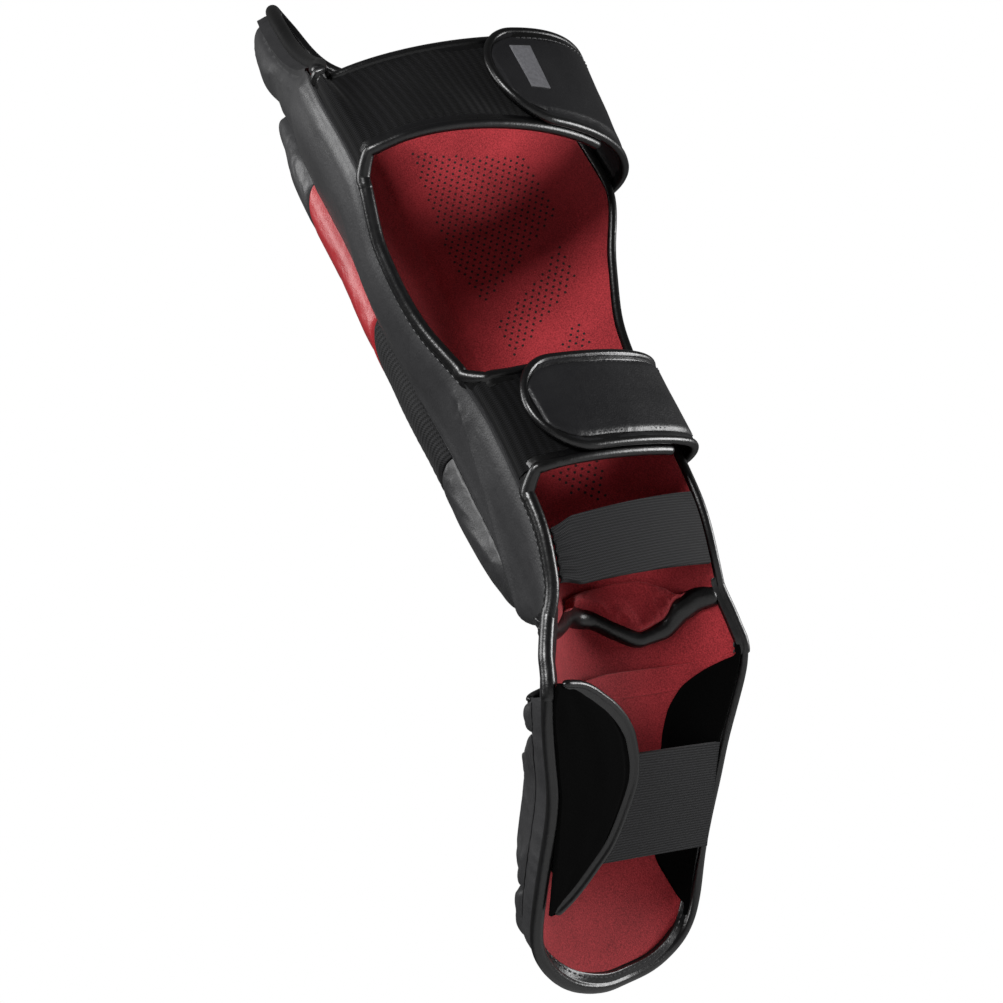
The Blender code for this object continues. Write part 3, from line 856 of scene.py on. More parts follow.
def plain(name, colour, roughness, scale, strength, shine=0.5):
    """Foam, thread or moulded plastic: one colour broken by a fine grain."""
    made, nodes, links, shader = new_material(name, roughness, Specular_IOR_Level=shine)
    where = nodes.new("ShaderNodeTexCoord").outputs["Object"]
    grain = place(nodes, "ShaderNodeTexNoise", Scale=scale, Detail=3.0)
    links.new(where, grain.inputs["Vector"])
    dark = tuple(c * 0.75 for c in colour)
    links.new(ramp(nodes, links, grain.outputs["Fac"], 0.35, 0.7, dark, colour), shader.inputs["Base Color"])
    links.new(relief(nodes, links, grain.outputs["Fac"], strength, 0.3), shader.inputs["Normal"])
    return made


def make_materials():
    """Every material of the guard, by the name that the pieces use."""
    return {
        "black": leather("black_leather", (0.012, 0.012, 0.013), (0.022, 0.022, 0.023), 0.5),
        "edge": leather("black_edge_leather", (0.002, 0.002, 0.002), (0.004, 0.004, 0.0045), 0.31, 0.15),
        "strap": leather("black_strap_leather", (0.006, 0.006, 0.007), (0.012, 0.012, 0.013), 0.4, 0.25),
        "red": leather("red_leather", (0.20, 0.006, 0.010), (0.28, 0.010, 0.014), 0.42),
        "ribbed": woven("ribbed_textile", (0.012, 0.012, 0.013), 2.4, 1.2, 0.6),
        "lining": lining("red_lining", (0.17, 0.009, 0.013), (0.40, 0.030, 0.038)),
        # Near-black with almost no shine: the wings' own black, and on the inner wing partly painted shade.
        "flap": plain("black_flap_and_shade", (0.0008, 0.0008, 0.0008), 0.9, 900.0, 0.3, shine=0.04),
        "elastic": woven("loop_elastic", (0.0045, 0.0045, 0.005), 4.3, 1.0, 0.9, 0.9),
        "webbing": woven("elastic_webbing", (0.028, 0.028, 0.03), 0.9, 1.25, 0.7, 1.0, lengthwise=True),
        "hook": plain("hook_tape", (0.01, 0.01, 0.01), 0.6, 900.0, 0.9),
        "label": plain("label_patch", (0.13, 0.13, 0.14), 0.5, 700.0, 0.2),
        "thread": plain("thread", (0.02, 0.02, 0.022), 0.5, 1200.0, 0.4),
        "seam": plain("seam_thread", (0.002, 0.002, 0.002), 0.8, 1200.0, 0.4),
        # Dark red of the punched holes: painted shade inside them.
        "hole": plain("painted_hole_shade", (0.012, 0.002, 0.002), 0.9, 900.0, 0.2),
        "soft_foam": plain("soft_foam", (0.35, 0.35, 0.36), 0.9, 500.0, 0.6),
        "hard_foam": plain("hard_foam", (0.1, 0.1, 0.11), 0.85, 400.0, 0.5),
    }


# ---------------------------------------------------------------- shin shell


def spread(count):
    """Even shares from 0 to 1."""
    return np.linspace(0, 1, count)


def shin_grid(rows, columns, inset):
    """Signed length and height of every point of a sheet of the shell."""
    u = np.linspace(-1, 1, columns)[None, :]
    v = spread(rows)[:, None] ** 0.94
    top = SHIN_TOP + 6.5 * np.sqrt(1 - u**2)
    s = np.broadcast_to(u * 70, (rows, columns))
    for _ in range(6):
        bottom = curve(HEM_WAVE, s)
        z = bottom + (top - bottom) * v
        s = u * np.maximum(shin_reach(z, u) - inset, 0.8)
    return s, z


def crease_line(s, z, width):
    """The fold down each side panel, mirrored on the inner side."""
    return bump(np.abs(s) - curve(CREASE, z), width)


def cover_out(s, z):
    """Distance from the inside of the lining to the outside of the leather."""
    spare = shin_spare(s, z)
    tongue = ease((z - 345) / 25)
    rim = quarter((spare - 4.6) / (6 + 4.5 * tongue))
    out = 4.3 + (shin_thickness(s, z) - 4.3) * rim
    fold = np.clip((spare - 5) / 6, 0, 1)
    out = out + fold * (1.1 * crease_line(s, z, 1.2) + 0.7 * crease_line(s, z, 5.0))
    beyond = np.abs(s) - curve(BAR_HALF, z)
    by_bar = ease((348 - z) / 8) * ease((z - 36) / 8)
    out = out - by_bar * (1.5 * bump(beyond - 0.8, 1.3) - 0.5 * bump(beyond - 4.5, 2.6))
    near = np.maximum(spare - 5, 0)
    side = np.where(s > 0, 0, 40)
    tip = ease((z - 292) / 30)
    low = ease((150 - z) / 50)
    at_elastic = bump(z - 255, 34) + 1.3 * bump(z - 102, 30)
    strength = 0.28 + 0.75 * tip + 0.35 * low + 0.35 * at_elastic
    out = out + fold * strength * creases(z + side, near, 11, 5.0, 17.0 + 9 * low)
    out = out + by_bar * 0.3 * creases(z * 1.1, np.maximum(beyond - 3, 0), 23, 7.0, 12.0)
    hem = np.maximum(z - curve(HEM_WAVE, s) - 3, 0)
    out = out + 0.6 * creases(s, hem, 31, 6.0, 22.0)
    out = out + 0.3 * noise(s / 26, z / 34, 5) + 0.12 * noise(s / 9, z / 12, 6)
    return 4.6 + (out - 4.6) * quarter((hem + 0.5) / 13)


def lining_out(s, z):
    """Waviness of the lining's visible face: quilted lines beside the middle and a soft nap."""
    spare = shin_spare(s, z)
    out = 0.9 * bump(np.abs(s + 2) - 11, 2.4) * ease((330 - z) / 40) * ease((z - 60) / 30)
    out = out + 0.3 * noise(s / 30, z / 40, 8) + 0.8 * (1 - ease(spare / 6))
    out = out + 0.5 * creases(z, np.maximum(spare - 3, 0), 41, 9.0, 14.0)
    return out - 0.3


def make_shin_layers(skins):
    """The shell's layers: leather cover, red lining and the two foams between them."""
    s, z = shin_grid(200, 171, 1.6)
    outer = cover_out(s, z)
    cover = solid("shin_cover", shin(s, z, outer - 1.0), shin(s, z, outer), skins["black"])
    give(cover, "shin_shell", "black_leather", "shin_outer_cover")
    inner = lining_out(s, z)
    facing = solid("shin_lining", shin(s, z, inner), shin(s, z, inner + 0.9), skins["lining"])
    give(facing, "shin_shell", "red_lining", "shin_liner")

    s, z = shin_grid(70, 45, 6.0)
    thick = np.minimum(shin_thickness(s, z), cover_out(s, z) + 0.6)
    faces = shin(s, z, 1.8 + 0 * s), shin(s, z, 0.35 * thick + 0.4)
    comfort = solid("shin_comfort_pad", *faces, skins["soft_foam"])
    give(comfort, "shin_shell", "soft_foam", "shin_comfort_foam")
    impact = solid(
        "shin_impact_pad", shin(s, z, 0.35 * thick + 0.6), shin(s, z, thick - 1.9), skins["hard_foam"]
    )
    give(impact, "shin_shell", "impact_foam", "shin_impact_foam")


def give(piece, body, slot, *nodes):
    """Says what a piece rides on and the nodes that it stands for. The slot is not used."""
    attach(piece, body)
    if nodes:
        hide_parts(*nodes)


def edge_run(heights, side):
    """Path of the shell's edge through the heights, and the way out of the shell along it."""
    z = np.asarray(heights, float)
    s = side * shin_reach(z, side)
    back = 8.5 * ease((z - 276) / 40) if side > 0 else 5 * ease((z - 345) / 30)
    level = SHIN_EDGE_THICK / 2 - back
    path = shin(s, z, level)
    return path, (shin(s, z, level + 10) - path) / 10


def make_shin_binding(skins):
    """The leather tape rolled over the shell's edge, in three runs parted by the elastics."""
    along = np.array([13.0, 9.0, 5.0])
    root = elastic_point(UPPER, along, UPPER["high"] + 1.5 + 0 * along, 1.8)
    root_out = (elastic_point(UPPER, along, UPPER["high"] + 1.5 + 0 * along, 11.8) - root) / 10
    up, up_out = edge_run([293, 299, *np.arange(306, 400, 7.0), 402, 406], 1)
    up, up_out = np.vstack([root, up]), np.vstack([root_out, up_out])
    tip = shin(np.array([float(SHIN_TIP_S)]), np.array([float(SHIN_TIP)]), -4.0)
    down, down_out = edge_run([406, 402, *np.arange(396, 20, -7.0), 16], -1)
    runs = [(np.vstack([up, tip, down]), np.vstack([up_out, [[0, -1, 0]], down_out]))]
    runs.append(edge_run([224, 218, 211, *np.arange(203, 140, -7.0), 135, 130], 1))
    runs.append(edge_run([72, 66, 59, *np.arange(52, 20, -7.0), 15], 1))
    rolls, threads = [], []
    for path, out in runs:
        thin = 1 - 0.22 * ease(-path[:, 0] / 20) * ease((350 - path[:, 2]) / 40)
        thin = thin + 0.25 * ease((path[:, 2] - 296) / 24) * ease((path[:, 0] + 30) / 30)
        first = path[0, 2] > 280
        away, smooth = ((1, 1, 4), 24) if first else ((1, 1, 0), 4)
        roll, path, across, normal = tape(path, out, away, tape_roll(3.1, 6.4), 1.6, thin, smooth)
        rolls.append(roll)
        keep = slice(22 if first else 0, None)
        threads += stitches_both(path[keep], across[keep], normal[keep], 4.9, 1.75)
    binding = joined("shin_binding", rolls, skins["edge"])
    give(binding, "shin_shell", "black_leather", "shin_edge_binding")
    stitches = joined("shin_binding_stitches", threads, skins["thread"])
    give(stitches, "shin_shell", "black_leather")


def make_tongue_facing(skins):
    """Black padded leather on the inner side of the knee tip, deep at its outer-side edge."""
    u = np.linspace(-1, 1, 61)[None, :]
    v = spread(90)[:, None]
    low = 302 + 32 * ease((1 - u) / 0.55)
    z = low + (SHIN_TOP - 0.5 + 7.2 * np.sqrt(1 - u**2) - low) * v
    left, right = -shin_reach(z, -1) + 0.6, shin_reach(z, 1) + 0.3
    width = right - left
    s = (left + right) / 2 + u * width / 2
    depth = 5.5 * ease((z - 300) / 38) * quarter((1 + u) / 0.5) * quarter(v * 4) * quarter((1 - v) * 14)
    depth = np.minimum(depth, 0.5 * width)
    depth = depth + 0.4 * creases(z, (1 - u) * width / 2, 64, 5.0, 30.0) * ease(depth)
    front = 4.0 * np.maximum(ease((u - 0.8) / 0.1), ease((v - 0.94) / 0.04)) + 0.1
    facing = solid("tongue_facing", shin(s, z, -0.5 - depth), shin(s, z, front + 0 * s), skins["black"])
    give(facing, "shin_shell", "black_leather")


def make_shin_hem(skins):
    """The swollen, wavy hem along the shell's lower end, with its stitches."""
    s = np.linspace(-1, 1, 121)
    reach = np.where(s > 0, shin_reach(18.0, 1), shin_reach(18.0, -1))
    s = s * (reach - 1.5)
    z = curve(HEM_WAVE, s) - 1.0
    path = shin(s, z + 1.0, 3.4 + 0.5 * noise(s / 9, 0.5, 51))
    outward = shin(s, z, 8.0) - path
    across, normal = frames(path, outward, path + np.array([[0, 0, 20.0]]))
    size = curve(HEM_SIZE, s) + 0.06 * noise(s / 6, 0.2, 52)
    profile = tape_roll(2.9, 5.5)[None] * size[:, None, None]
    hem = joined("shin_hem", [sweep_mesh(path, across, normal, profile)], skins["edge"])
    give(hem, "shin_shell", "black_leather", "shin_bottom_hem")
    rows = stitches_both(path, across, normal, 4.4, 1.65)
    give(joined("shin_hem_stitches", rows, skins["thread"]), "shin_shell", "black_leather")


def make_lining_roll(skins):
    """The puffed end of the lining that stands over the wavy hem, inside the ankle."""
    u = np.linspace(-1, 1, 81)[None, :]
    v = spread(25)[:, None]
    s = -13 + 39 * u
    low = curve(HEM_WAVE, s) + 2.5
    tall = np.maximum(curve(ROLL_TOP, s) - low, 0) * quarter((1 - np.abs(u)) * 2.2) + 0.6
    z = low + tall * v
    s = s + 0 * z
    rise = 5.6 * quarter(v * 3.2) * quarter((1 - v) * 1.6) * quarter((1 - np.abs(u)) * 2.0)
    rise = rise * (1 + 0.1 * noise(s / 9, v * 2, 61)) + 0.3 * creases(s, 8 * v, 62, 6.0, 9.0) * ease(rise)
    flat = lining_out(s, z) - 0.15
    roll = solid("shin_lining_roll", shin(s, z, flat - rise - 0.1), shin(s, z, flat), skins["lining"])
    fill_face(roll, z.shape, 0, 3.0, 0.05, 2.0)
    smooth_once(roll)
    give(roll, "shin_shell", "red_lining")


def inside_polygon(points, polygon):
    """Which points lie inside a polygon, by crossings."""
    inside = np.zeros(len(points), bool)
    x, y = points.T
    for (x0, y0), (x1, y1) in zip(polygon, np.roll(polygon, -1, axis=0)):
        crosses = (y0 > y) != (y1 > y)
        at = x0 + (y - y0) / (y1 - y0 if y1 != y0 else 1e-9) * (x1 - x0)
        inside ^= crosses & (x < at)
    return inside


# Slanting bands of punched holes on the lining, as signed length and height.
HOLE_BANDS = (
    ((-34, 300), (-86, 268), (-84, 230), (-30, 202), (-24, 232)),
    ((-80, 214), (-78, 194), (-32, 168), (-30, 188)),
    ((-70, 174), (-68, 154), (-53, 162)),
    ((-18, 104), (-44, 98), (-38, 76), (-24, 88)),
)
HOLE_PITCH = 4.0
HOLE_RADIUS = 0.72


def make_holes(skins):
    """Dark discs on the lining where its punched holes are, in bands mirrored about its middle:
    their dark colour is painted shade inside the holes.
    """
    rows = np.arange(60, 310, HOLE_PITCH * 0.72)
    spots = []
    for number, z in enumerate(rows):
        s = np.arange(-100, -8, HOLE_PITCH) + (number % 2) * HOLE_PITCH / 2
        spots.append(np.stack([s, np.full_like(s, z)], axis=1))
    spots = np.concatenate(spots)
    chosen = np.zeros(len(spots), bool)
    for corners in HOLE_BANDS:
        chosen |= inside_polygon(spots, np.array(corners, float))
    spots = spots[chosen]
    spots = np.concatenate([spots, spots * [-1, 1]])
    turn = np.linspace(0, 2 * math.pi, 10, endpoint=False)
    points, faces = [], []
    for number, (s, z) in enumerate(spots):
        ring_s = s + HOLE_RADIUS * np.cos(turn)
        ring_z = z + HOLE_RADIUS * np.sin(turn)
        level = lining_out(ring_s, ring_z)
        centre = lining_out(np.array([s]), np.array([z]))
        top = shin(ring_s, ring_z, level - 0.05)
        bottom = shin(ring_s, ring_z, level + 0.3)
        caps = np.concatenate([shin(s, z, centre - 0.1), shin(s, z, centre + 0.35)])
        points.append(np.concatenate([top, bottom, caps]))
        a = number * 22
        for k in range(10):
            n = (k + 1) % 10
            faces.append([a + k, a + n, a + 10 + n, a + 10 + k])
            faces.append([a + 20, a + n, a + k])
            faces.append([a + 21, a + 10 + k, a + 10 + n])
    points = np.concatenate(points)
    # The dark discs stand in for the holes' depth: painted shade.
    holes = add_mesh("lining_holes", points, faces, skins["hole"])
    give(holes, "shin_shell", "red_lining")


# ---------------------------------------------------------------- front bar

# Segments of the bar from the bottom up: name, material and record slot.
BAR_SEGMENTS = (
    ("lower", "black", "black_leather"),
    ("ribbed", "ribbed", "ribbed_textile"),
    ("red", "red", "red_leather"),
    ("upper", "black", "black_leather"),
)


def bar_joint(index, u):
    """Height of a joint between bar segments: it sags towards the bar's middle."""
    side, drop = BAR_JOINTS[index]
    return side - drop * (1 - u * u)


def make_bar(skins):
    """The padded front bar: four segments sewn end to end, and its side seams."""
    last = len(BAR_SEGMENTS) - 1
    for number, (name, skin, slot) in enumerate(BAR_SEGMENTS):
        rows = int((BAR_JOINTS[number + 1][0] - BAR_JOINTS[number][0]) / 1.9)
        u = np.sin(np.linspace(-1, 1, 61)[None, :] * math.pi / 2)
        v = spread(rows)[:, None]
        low, high = bar_joint(number, u) + 0.2, bar_joint(number + 1, u) - 0.2
        z = low + (high - low) * v
        s = u * curve(BAR_HALF, z)
        base = cover_out(s, z) + 0.25
        ends = 1.0
        for room, closed in ((z - low, number == 0), (high - z, number == last)):
            ends = ends * (quarter(room / 7) if closed else 0.8 + 0.2 * quarter(room / 3))
        crown = (1 - np.abs(u) ** 5) ** 0.6 * ends
        rise = 0.35 + np.maximum(curve(BAR_TOP, z) - base - 0.35, 1) * crown
        beside = (1 - np.abs(u)) * curve(BAR_HALF, z)
        rise = rise + 0.35 * creases(z * 1.2 + 60 * (s > 0), beside, 24, 5.0, 9.0) * ends
        if skin == "ribbed":
            rise = rise + 0.3 * np.sin(2 * math.pi * z / 4.2) * (1 - np.abs(u) ** 8)
        pad = solid(f"bar_{name}", shin(s, z, base), shin(s, z, base + rise), skins[skin])
        if skin != "ribbed":
            fill_face(pad, z.shape, 1, 1.0, 0.008, 0.35)
        smooth_once(pad)
        give(pad, "shin_shell", slot, f"spine_pad_{name}")

    rows = []
    z = np.arange(46, 338, 3.0)
    for side in (-1, 1):
        s = side * (curve(BAR_HALF, z) + 1.2)
        path = shin(s, z, cover_out(s, z) + 0.1)
        rows.append(stitch_row(path, shin(s, z, 30.0) - path, pitch=2.6, length=1.7, radius=0.28))
    give(joined("bar_stitches", rows, skins["seam"]), "shin_shell", "black_leather")


# ---------------------------------------------------------------- straps


def make_elastic(band, skins):
    """The loop-faced elastic of one closure with its two leather edgings."""
    name, low, high = band["name"], band["low"], band["high"]
    end = np.interp(math.radians(ELASTIC_END), *band_table(band))
    along = np.linspace(-ELASTIC_ROOT, end, 110)[:, None]
    v = spread(33)[None, :]
    z = low - band["drop"] + 1.2 + (high - low + band["drop"] - 2.4) * v + 0 * along
    along = along + 0 * z
    ribs = 0.3 * np.abs(np.sin(math.pi * along / 4.3))
    sag = 0.35 * noise(along / 14, z / 17, 71)
    panel = solid(
        f"{name}_elastic",
        elastic_point(band, along, z, 0.1 - ribs + sag),
        elastic_point(band, along, z, ELASTIC_THICK - 0.1 + ribs + sag),
        skins["elastic"],
    )
    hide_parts(f"{name}_elastic_panel")
    hinge_blend(panel)

    for side, height, turn in (("lower", low - band["drop"], -1), ("upper", high, 1)):
        free_corner = band is UPPER and side == "upper"
        edge, edge_out = edge_run(height + turn * np.array([13.0, 9.5, 6.0]), 1)
        along = np.linspace(-2 if free_corner else 6, end, 54)
        path = elastic_point(band, along, height + 0 * along, ELASTIC_THICK / 2)
        outward = (elastic_point(band, along, height + 0 * along, 10.8) - path) / 10
        away = path[0] - edge[0]
        start = [] if free_corner else [-13, -9.5, -6]
        scale = 1 + 0.26 * ease(1 - (np.concatenate([start, along]) + 4) / 20)
        if not free_corner:
            path, outward = np.vstack([edge, path]), np.vstack([edge_out, outward])
        else:
            away = np.array([0.0, 0.0, 1.0])
        away = away * [1, 1, free_corner]
        roll, *_ = tape(path, outward, away, tape_roll(2.5, 4.6, 0.2), 1.5, scale)
        piping = joined(f"{name}_elastic_{side}_edge", [roll], skins["edge"])
        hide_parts(f"{name}_elastic_{side}_piping")
        hinge_blend(piping)


def hinge_blend(piece):
    """Bakes the placement of a strap or elastic piece into its mesh."""
    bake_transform(piece)


def strap_outline(band):
    """Grid of length past the -X edge and height over the strap, with a rounded free end."""
    angle, length = band_table(band)
    whole = length[-1] - np.interp(math.radians(band["free"]), angle, length)
    w = spread(150)
    along = -STRAP_ROOT + (whole + STRAP_ROOT) * w
    room = np.clip((whole - along) / STRAP_ROUND, 0, 1)
    half = (band["high"] - band["low"]) / 2 * (0.3 + 0.7 * quarter(room))
    return along, half, whole


def make_strap(band, skins):
    """The leather strap: a crowned panel, its rolled edge, stitches and its hook tape."""
    name = band["name"]
    body = f"{name}_strap"
    middle = (band["low"] + band["high"]) / 2
    along, half, whole = strap_outline(band)
    v = np.linspace(-1, 1, 37)[None, :]
    z = middle + v * half[:, None]
    w = along[:, None] + 0 * z
    rim = np.minimum((1 - np.abs(v)) * half[:, None], np.clip(whole - w, 0, 99) + 2)
    crown = STRAP_THICK + 0.9 * ease(rim / 5) * ease((along[:, None] + 26) / 12)
    crown = crown - 0.9 * bump(rim - 2.6, 0.9)
    crown = crown + 0.3 * noise(w / 17, z / 12, 81) + 0.25 * creases(w, rim, 82, 9.0, 10.0)
    under = 0.2 + 0 * z
    faces = strap_point(band, w, z, under), strap_point(band, w, z, crown)
    panel = solid(f"{name}_strap_panel", *faces, skins["strap"])
    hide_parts(f"{name}_strap", f"{name}_strap_tab")
    hinge_blend(panel)

    sides = spread(60)
    straight = -32 + (whole - STRAP_ROUND + 32) * sides
    size = (band["high"] - band["low"]) / 2 + 1.4
    turns = np.radians(np.linspace(-90, 90, 25))
    tip_w = whole - STRAP_ROUND + (STRAP_ROUND + 1.5) * np.cos(turns[1:-1])
    tip_z = middle + size * np.sin(turns[1:-1])
    rim_w = np.concatenate([straight, tip_w, straight[::-1]])
    rim_z = np.concatenate([middle - size + 0 * straight, tip_z, middle + size + 0 * straight])
    lift = STRAP_EDGE_LIFT + 0 * rim_w
    border = strap_point(band, rim_w, rim_z, lift)
    inner = strap_point(band, np.clip(rim_w, -99, whole - 12), middle + 0.5 * (rim_z - middle), lift)
    path = resample(border, 1.5)
    along = lengths_along(border)
    even = np.linspace(0, 1, len(path))
    outward = read_columns(even, along / along[-1], strap_point(band, rim_w, rim_z, 6.0 + 0 * rim_w) - border)
    inside = read_columns(even, along / along[-1], inner)
    across, normal = frames(path, outward)
    across *= np.where(np.sum(across * (path - inside), axis=1) < 0, -1, 1)[:, None]
    roll = sweep_mesh(path, across, normal, tape_roll(2.1, 4.4, -0.1))
    edge = joined(f"{name}_strap_edge", [roll], skins["edge"])
    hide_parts(f"{name}_strap_piping")
    hinge_blend(edge)
    rows = [stitch_row(path - across * 5.2 + normal * 1.55, normal)]
    threads = joined(f"{name}_strap_stitches", rows, skins["thread"])
    hinge_blend(threads)

    first, last = np.radians(band["free"] + 8), np.radians(ELASTIC_END - 4)
    theta = np.linspace(first, last, 50)[:, None]
    z = np.linspace(band["low"] + 5, band["high"] - 5, 17)[None, :] + 0 * theta
    tape = solid(
        f"{name}_hook_tape",
        band_point(band, theta, z, HOOK_NEAR),
        band_point(band, theta, z, HOOK_NEAR + HOOK_THICK),
        skins["hook"],
    )
    give(tape, body, "hook_tape", f"{name}_strap_hook_tape")


def make_label(skins):
    """A plain sewn patch on the upper strap, with no mark on it."""
    angle, length = band_table(UPPER)
    whole = length[-1]
    first = whole - np.interp(math.radians(LABEL_ANGLE), angle, length)
    w = first + LABEL_LONG * spread(24)[:, None]
    z = LABEL_LOW + (LABEL_HIGH - LABEL_LOW) * spread(36)[None, :]
    v_edge = np.minimum(z - LABEL_LOW, LABEL_HIGH - z)
    w_edge = np.minimum(w - w[0], w[-1] - w)
    edge = np.minimum(v_edge + 0 * w, w_edge + 0 * z)
    lift = STRAP_THICK + 1.35 + 0.35 * ease(edge / 0.8) - 0.15 * bump(edge - 1.6, 0.4)
    w, z = w + 0 * lift, z + 0 * lift
    faces = strap_point(UPPER, w, z, lift - 0.7), strap_point(UPPER, w, z, lift)
    patch = solid("strap_label_patch", *faces, skins["label"])
    give(patch, "upper_strap", "label", "strap_label")


def make_ankle_band(skins):
    """The elastic across the back of the ankle, gathered where it is sewn in."""
    u = spread(90)[:, None]
    v = spread(31)[None, :]
    across = 2 * u - 1
    gather = ease((across - 0.72) / 0.28)
    z = ANKLE_BAND_LOW + 2.5 * gather + (ANKLE_BAND_WIDE - 3 * across - 5 * gather) * v
    half = curve([(row[0], row[1]) for row in SHIN_STATIONS], z)
    edge_y = curve([(row[0], row[2]) for row in SHIN_STATIONS], z)
    bow = 4 * (1 - across**2)
    folds = gather * 0.9 * np.sin(2 * math.pi * v * 5)
    ribs = 0.16 * np.sin(2 * math.pi * v * 15)
    x = (half - 2.0) * across
    inner = np.stack([x, edge_y - 1.5 + bow - ribs + folds, z + 0 * x], axis=-1)
    outer = np.stack([x, edge_y + 0.1 + bow + ribs + folds, z + 0 * x], axis=-1)
    band = solid("ankle_elastic", inner, outer, skins["webbing"])
    give(band, "shin_shell", "elastic", "ankle_elastic_band")


# ---------------------------------------------------------------- foot


def foot_grid(rows, columns, inset, start=0.0):
    """Signed length and place along the pad for every point of one of its sheets."""
    u = np.linspace(-1, 1, columns)[None, :]
    v = spread(rows)[:, None]
    top = foot_top(u)
    end = FOOT_LAYERS_END + 11 * np.sqrt(1 - u**2)
    t = top + start + (end - top - start) * v
    s = u * (FOOT.length(t) - inset)
    return s, t


def foot_cover_out(s, t):
    """Distance from the inside of the lining to the outside of the pad's leather."""
    spare = FOOT.length(t) - np.abs(s)
    out = foot_thickness(s, t) - 2.2 * (1 - ease((spare - 1.5) / 7))
    out = out + 0.7 * creases(t, np.maximum(spare - 4, 0), 91, 6.0, 16.0)
    out = out + 0.3 * noise(s / 22, t / 24, 92)
    end = FOOT_TOE - 3 - 10 * (1 - np.sqrt(np.maximum(1 - (s / FOOT.length(t)) ** 2, 0)))
    return 3.9 + (out - 3.9) * quarter((end - t) / 9)


def foot_lining_out(s, t):
    """Waviness of the foot lining's visible face."""
    spare = FOOT.length(t) - np.abs(s)
    out = 0.8 * (1 - ease(spare / 6)) + 0.35 * noise(s / 25, t / 30, 93)
    fold = 0.8 * creases(s * 0.8 + t * 0.4, np.maximum(t - 4, 0), 94, 12.0, 34.0)
    return out - 0.3 - fold


def make_foot_layers(skins):
    """The foot pad's layers: leather cover, red lining and the foam between them."""
    s, t = foot_grid(90, 81, 1.6)
    outer = foot_cover_out(s, t)
    cover = solid("foot_cover", foot(s, t, outer - 1.0), foot(s, t, outer), skins["black"])
    give(cover, "foot", "black_leather", "foot_outer_cover")
    inner = foot_lining_out(s, t)
    facing = solid("foot_lining", foot(s, t, inner), foot(s, t, inner + 0.9), skins["lining"])
    give(facing, "foot", "red_lining", "foot_liner")
    s, t = foot_grid(40, 31, 4.6, 7.0)
    faces = foot(s, t, 1.8 + 0 * s), foot(s, t, foot_thickness(s, t) - 2.6)
    pad = solid("foot_impact_pad", *faces, skins["hard_foam"])
    give(pad, "foot", "impact_foam", "foot_impact_foam")


def make_foot_binding(skins):
    """The tape rolled over the foot pad's edge, its stitches, and the hem at the ankle."""
    middle = FOOT_EDGE_THICK / 2
    start = float(foot_top(np.array([1.0]), 3.7)[0])
    t = np.array([*np.linspace(start, 140, 20), 145, 149, 153, 156.5, 159.3])
    right = foot(FOOT.length(t), t, middle)
    left = foot(-FOOT.length(t[::-1]), t[::-1], middle)
    toe = foot(np.array([0.0]), np.array([float(FOOT_TOE)]), middle)
    path = resample(np.vstack([right, toe, left]), 1.5)
    path = smoothed(path, 40)
    outward = np.broadcast_to(foot_way(0, 1, 0), path.shape)
    outward = outward + 0.9 * np.stack([path[:, 0] - 1.5, 0 * path[:, 0], 0 * path[:, 0]], axis=1) / 50
    thin = 1 - 0.3 * ease((-path[:, 0] - 8) / 30) * ease((path[:, 2] + 98) / 20)
    roll, path, across, normal = tape(path, outward, (1, 0, 0), tape_roll(3.0, 6.2), 1.5, thin)
    binding = joined("foot_binding", [roll], skins["edge"])
    give(binding, "foot", "black_leather", "foot_edge_binding")
    rows = stitches_both(path, across, normal, 4.7, 1.7)
    give(joined("foot_binding_stitches", rows, skins["thread"]), "foot", "black_leather")

    u = np.linspace(-0.86, 0.86, 60)
    t = foot_top(u, -1.0)
    s = u * (FOOT.length(t) - 3)
    level = foot_cover_out(s, t) + 0.3
    path = foot(s, t, level)
    outward = foot(s, t, level + 5) - path
    away = foot(s[:1], t[:1] - 10, level[:1])[0] - path[0]
    roll, *_ = tape(path, outward, away, tape_roll(1.6, 3.4))
    hem = joined("foot_hem", [roll], skins["edge"])
    give(hem, "foot", "black_leather", "foot_top_hem")


# Instep segments: name, first and last t (from the foot pad's top edge for the first one and a
# half), and how far the pads stop short of the edge.
INSTEP_PADS = (("ankle", 3, 17, 9), ("middle", 19, 108, 11), ("toe", 110, 137, 13))


def instep_t(t, u):
    """The pads' cross seams follow the top edge near the ankle and lie square near the toes."""
    return t + (foot_top(u) + 2) * ease((70 - t) / 50)


def make_instep(skins):
    """Three puffed segments over the instep, filled by simulation between their sewn edges."""
    for name, first, last, inset in INSTEP_PADS:
        rows = max(int((last - first) / 1.7), 14)
        u = np.linspace(-1, 1, 61)[None, :]
        v = spread(rows)[:, None]
        t = instep_t(first + (last - first) * v, u)
        s = u * (FOOT.length(t) - inset)
        base = foot_cover_out(s, t)
        square = quarter((1 - np.abs(u)) * 6) * quarter(np.minimum(v, 1 - v) * (last - first) / 8)
        rise = 0.3 + 4.4 * square + 0.4 * creases(t, (1 - np.abs(u)) * 60, 99, 5.0, 12.0) * square
        rise = rise + 0.35 * creases(s, np.minimum(v, 1 - v) * (last - first), 100, 6.0, 9.0) * square
        pad = solid(f"instep_{name}", foot(s, t, base + 0.1), foot(s, t, base + 0.1 + rise), skins["black"])
        fill_face(pad, t.shape, 1, 3.0, 0.05, 1.2)
        smooth_once(pad)
        give(pad, "foot", "black_leather", f"instep_pad_{name}")


# Outer flap: where it starts and ends along the pad, and how far it reaches across.
FLAP_FIRST = 5
FLAP_LAST = 111
FLAP_REACH = 47.5
# Outline of the outer flap: share of its length from the ankle end, and share of its reach.
FLAP_SHAPE = (
    (0, 0), (0.02, 0.25), (0.05, 0.42), (0.09, 0.57), (0.157, 0.77), (0.23, 0.9), (0.3, 0.97),
    (0.4, 1), (0.5, 0.975), (0.58, 0.917), (0.755, 0.73), (0.87, 0.47), (0.95, 0.24), (1, 0.03),
)
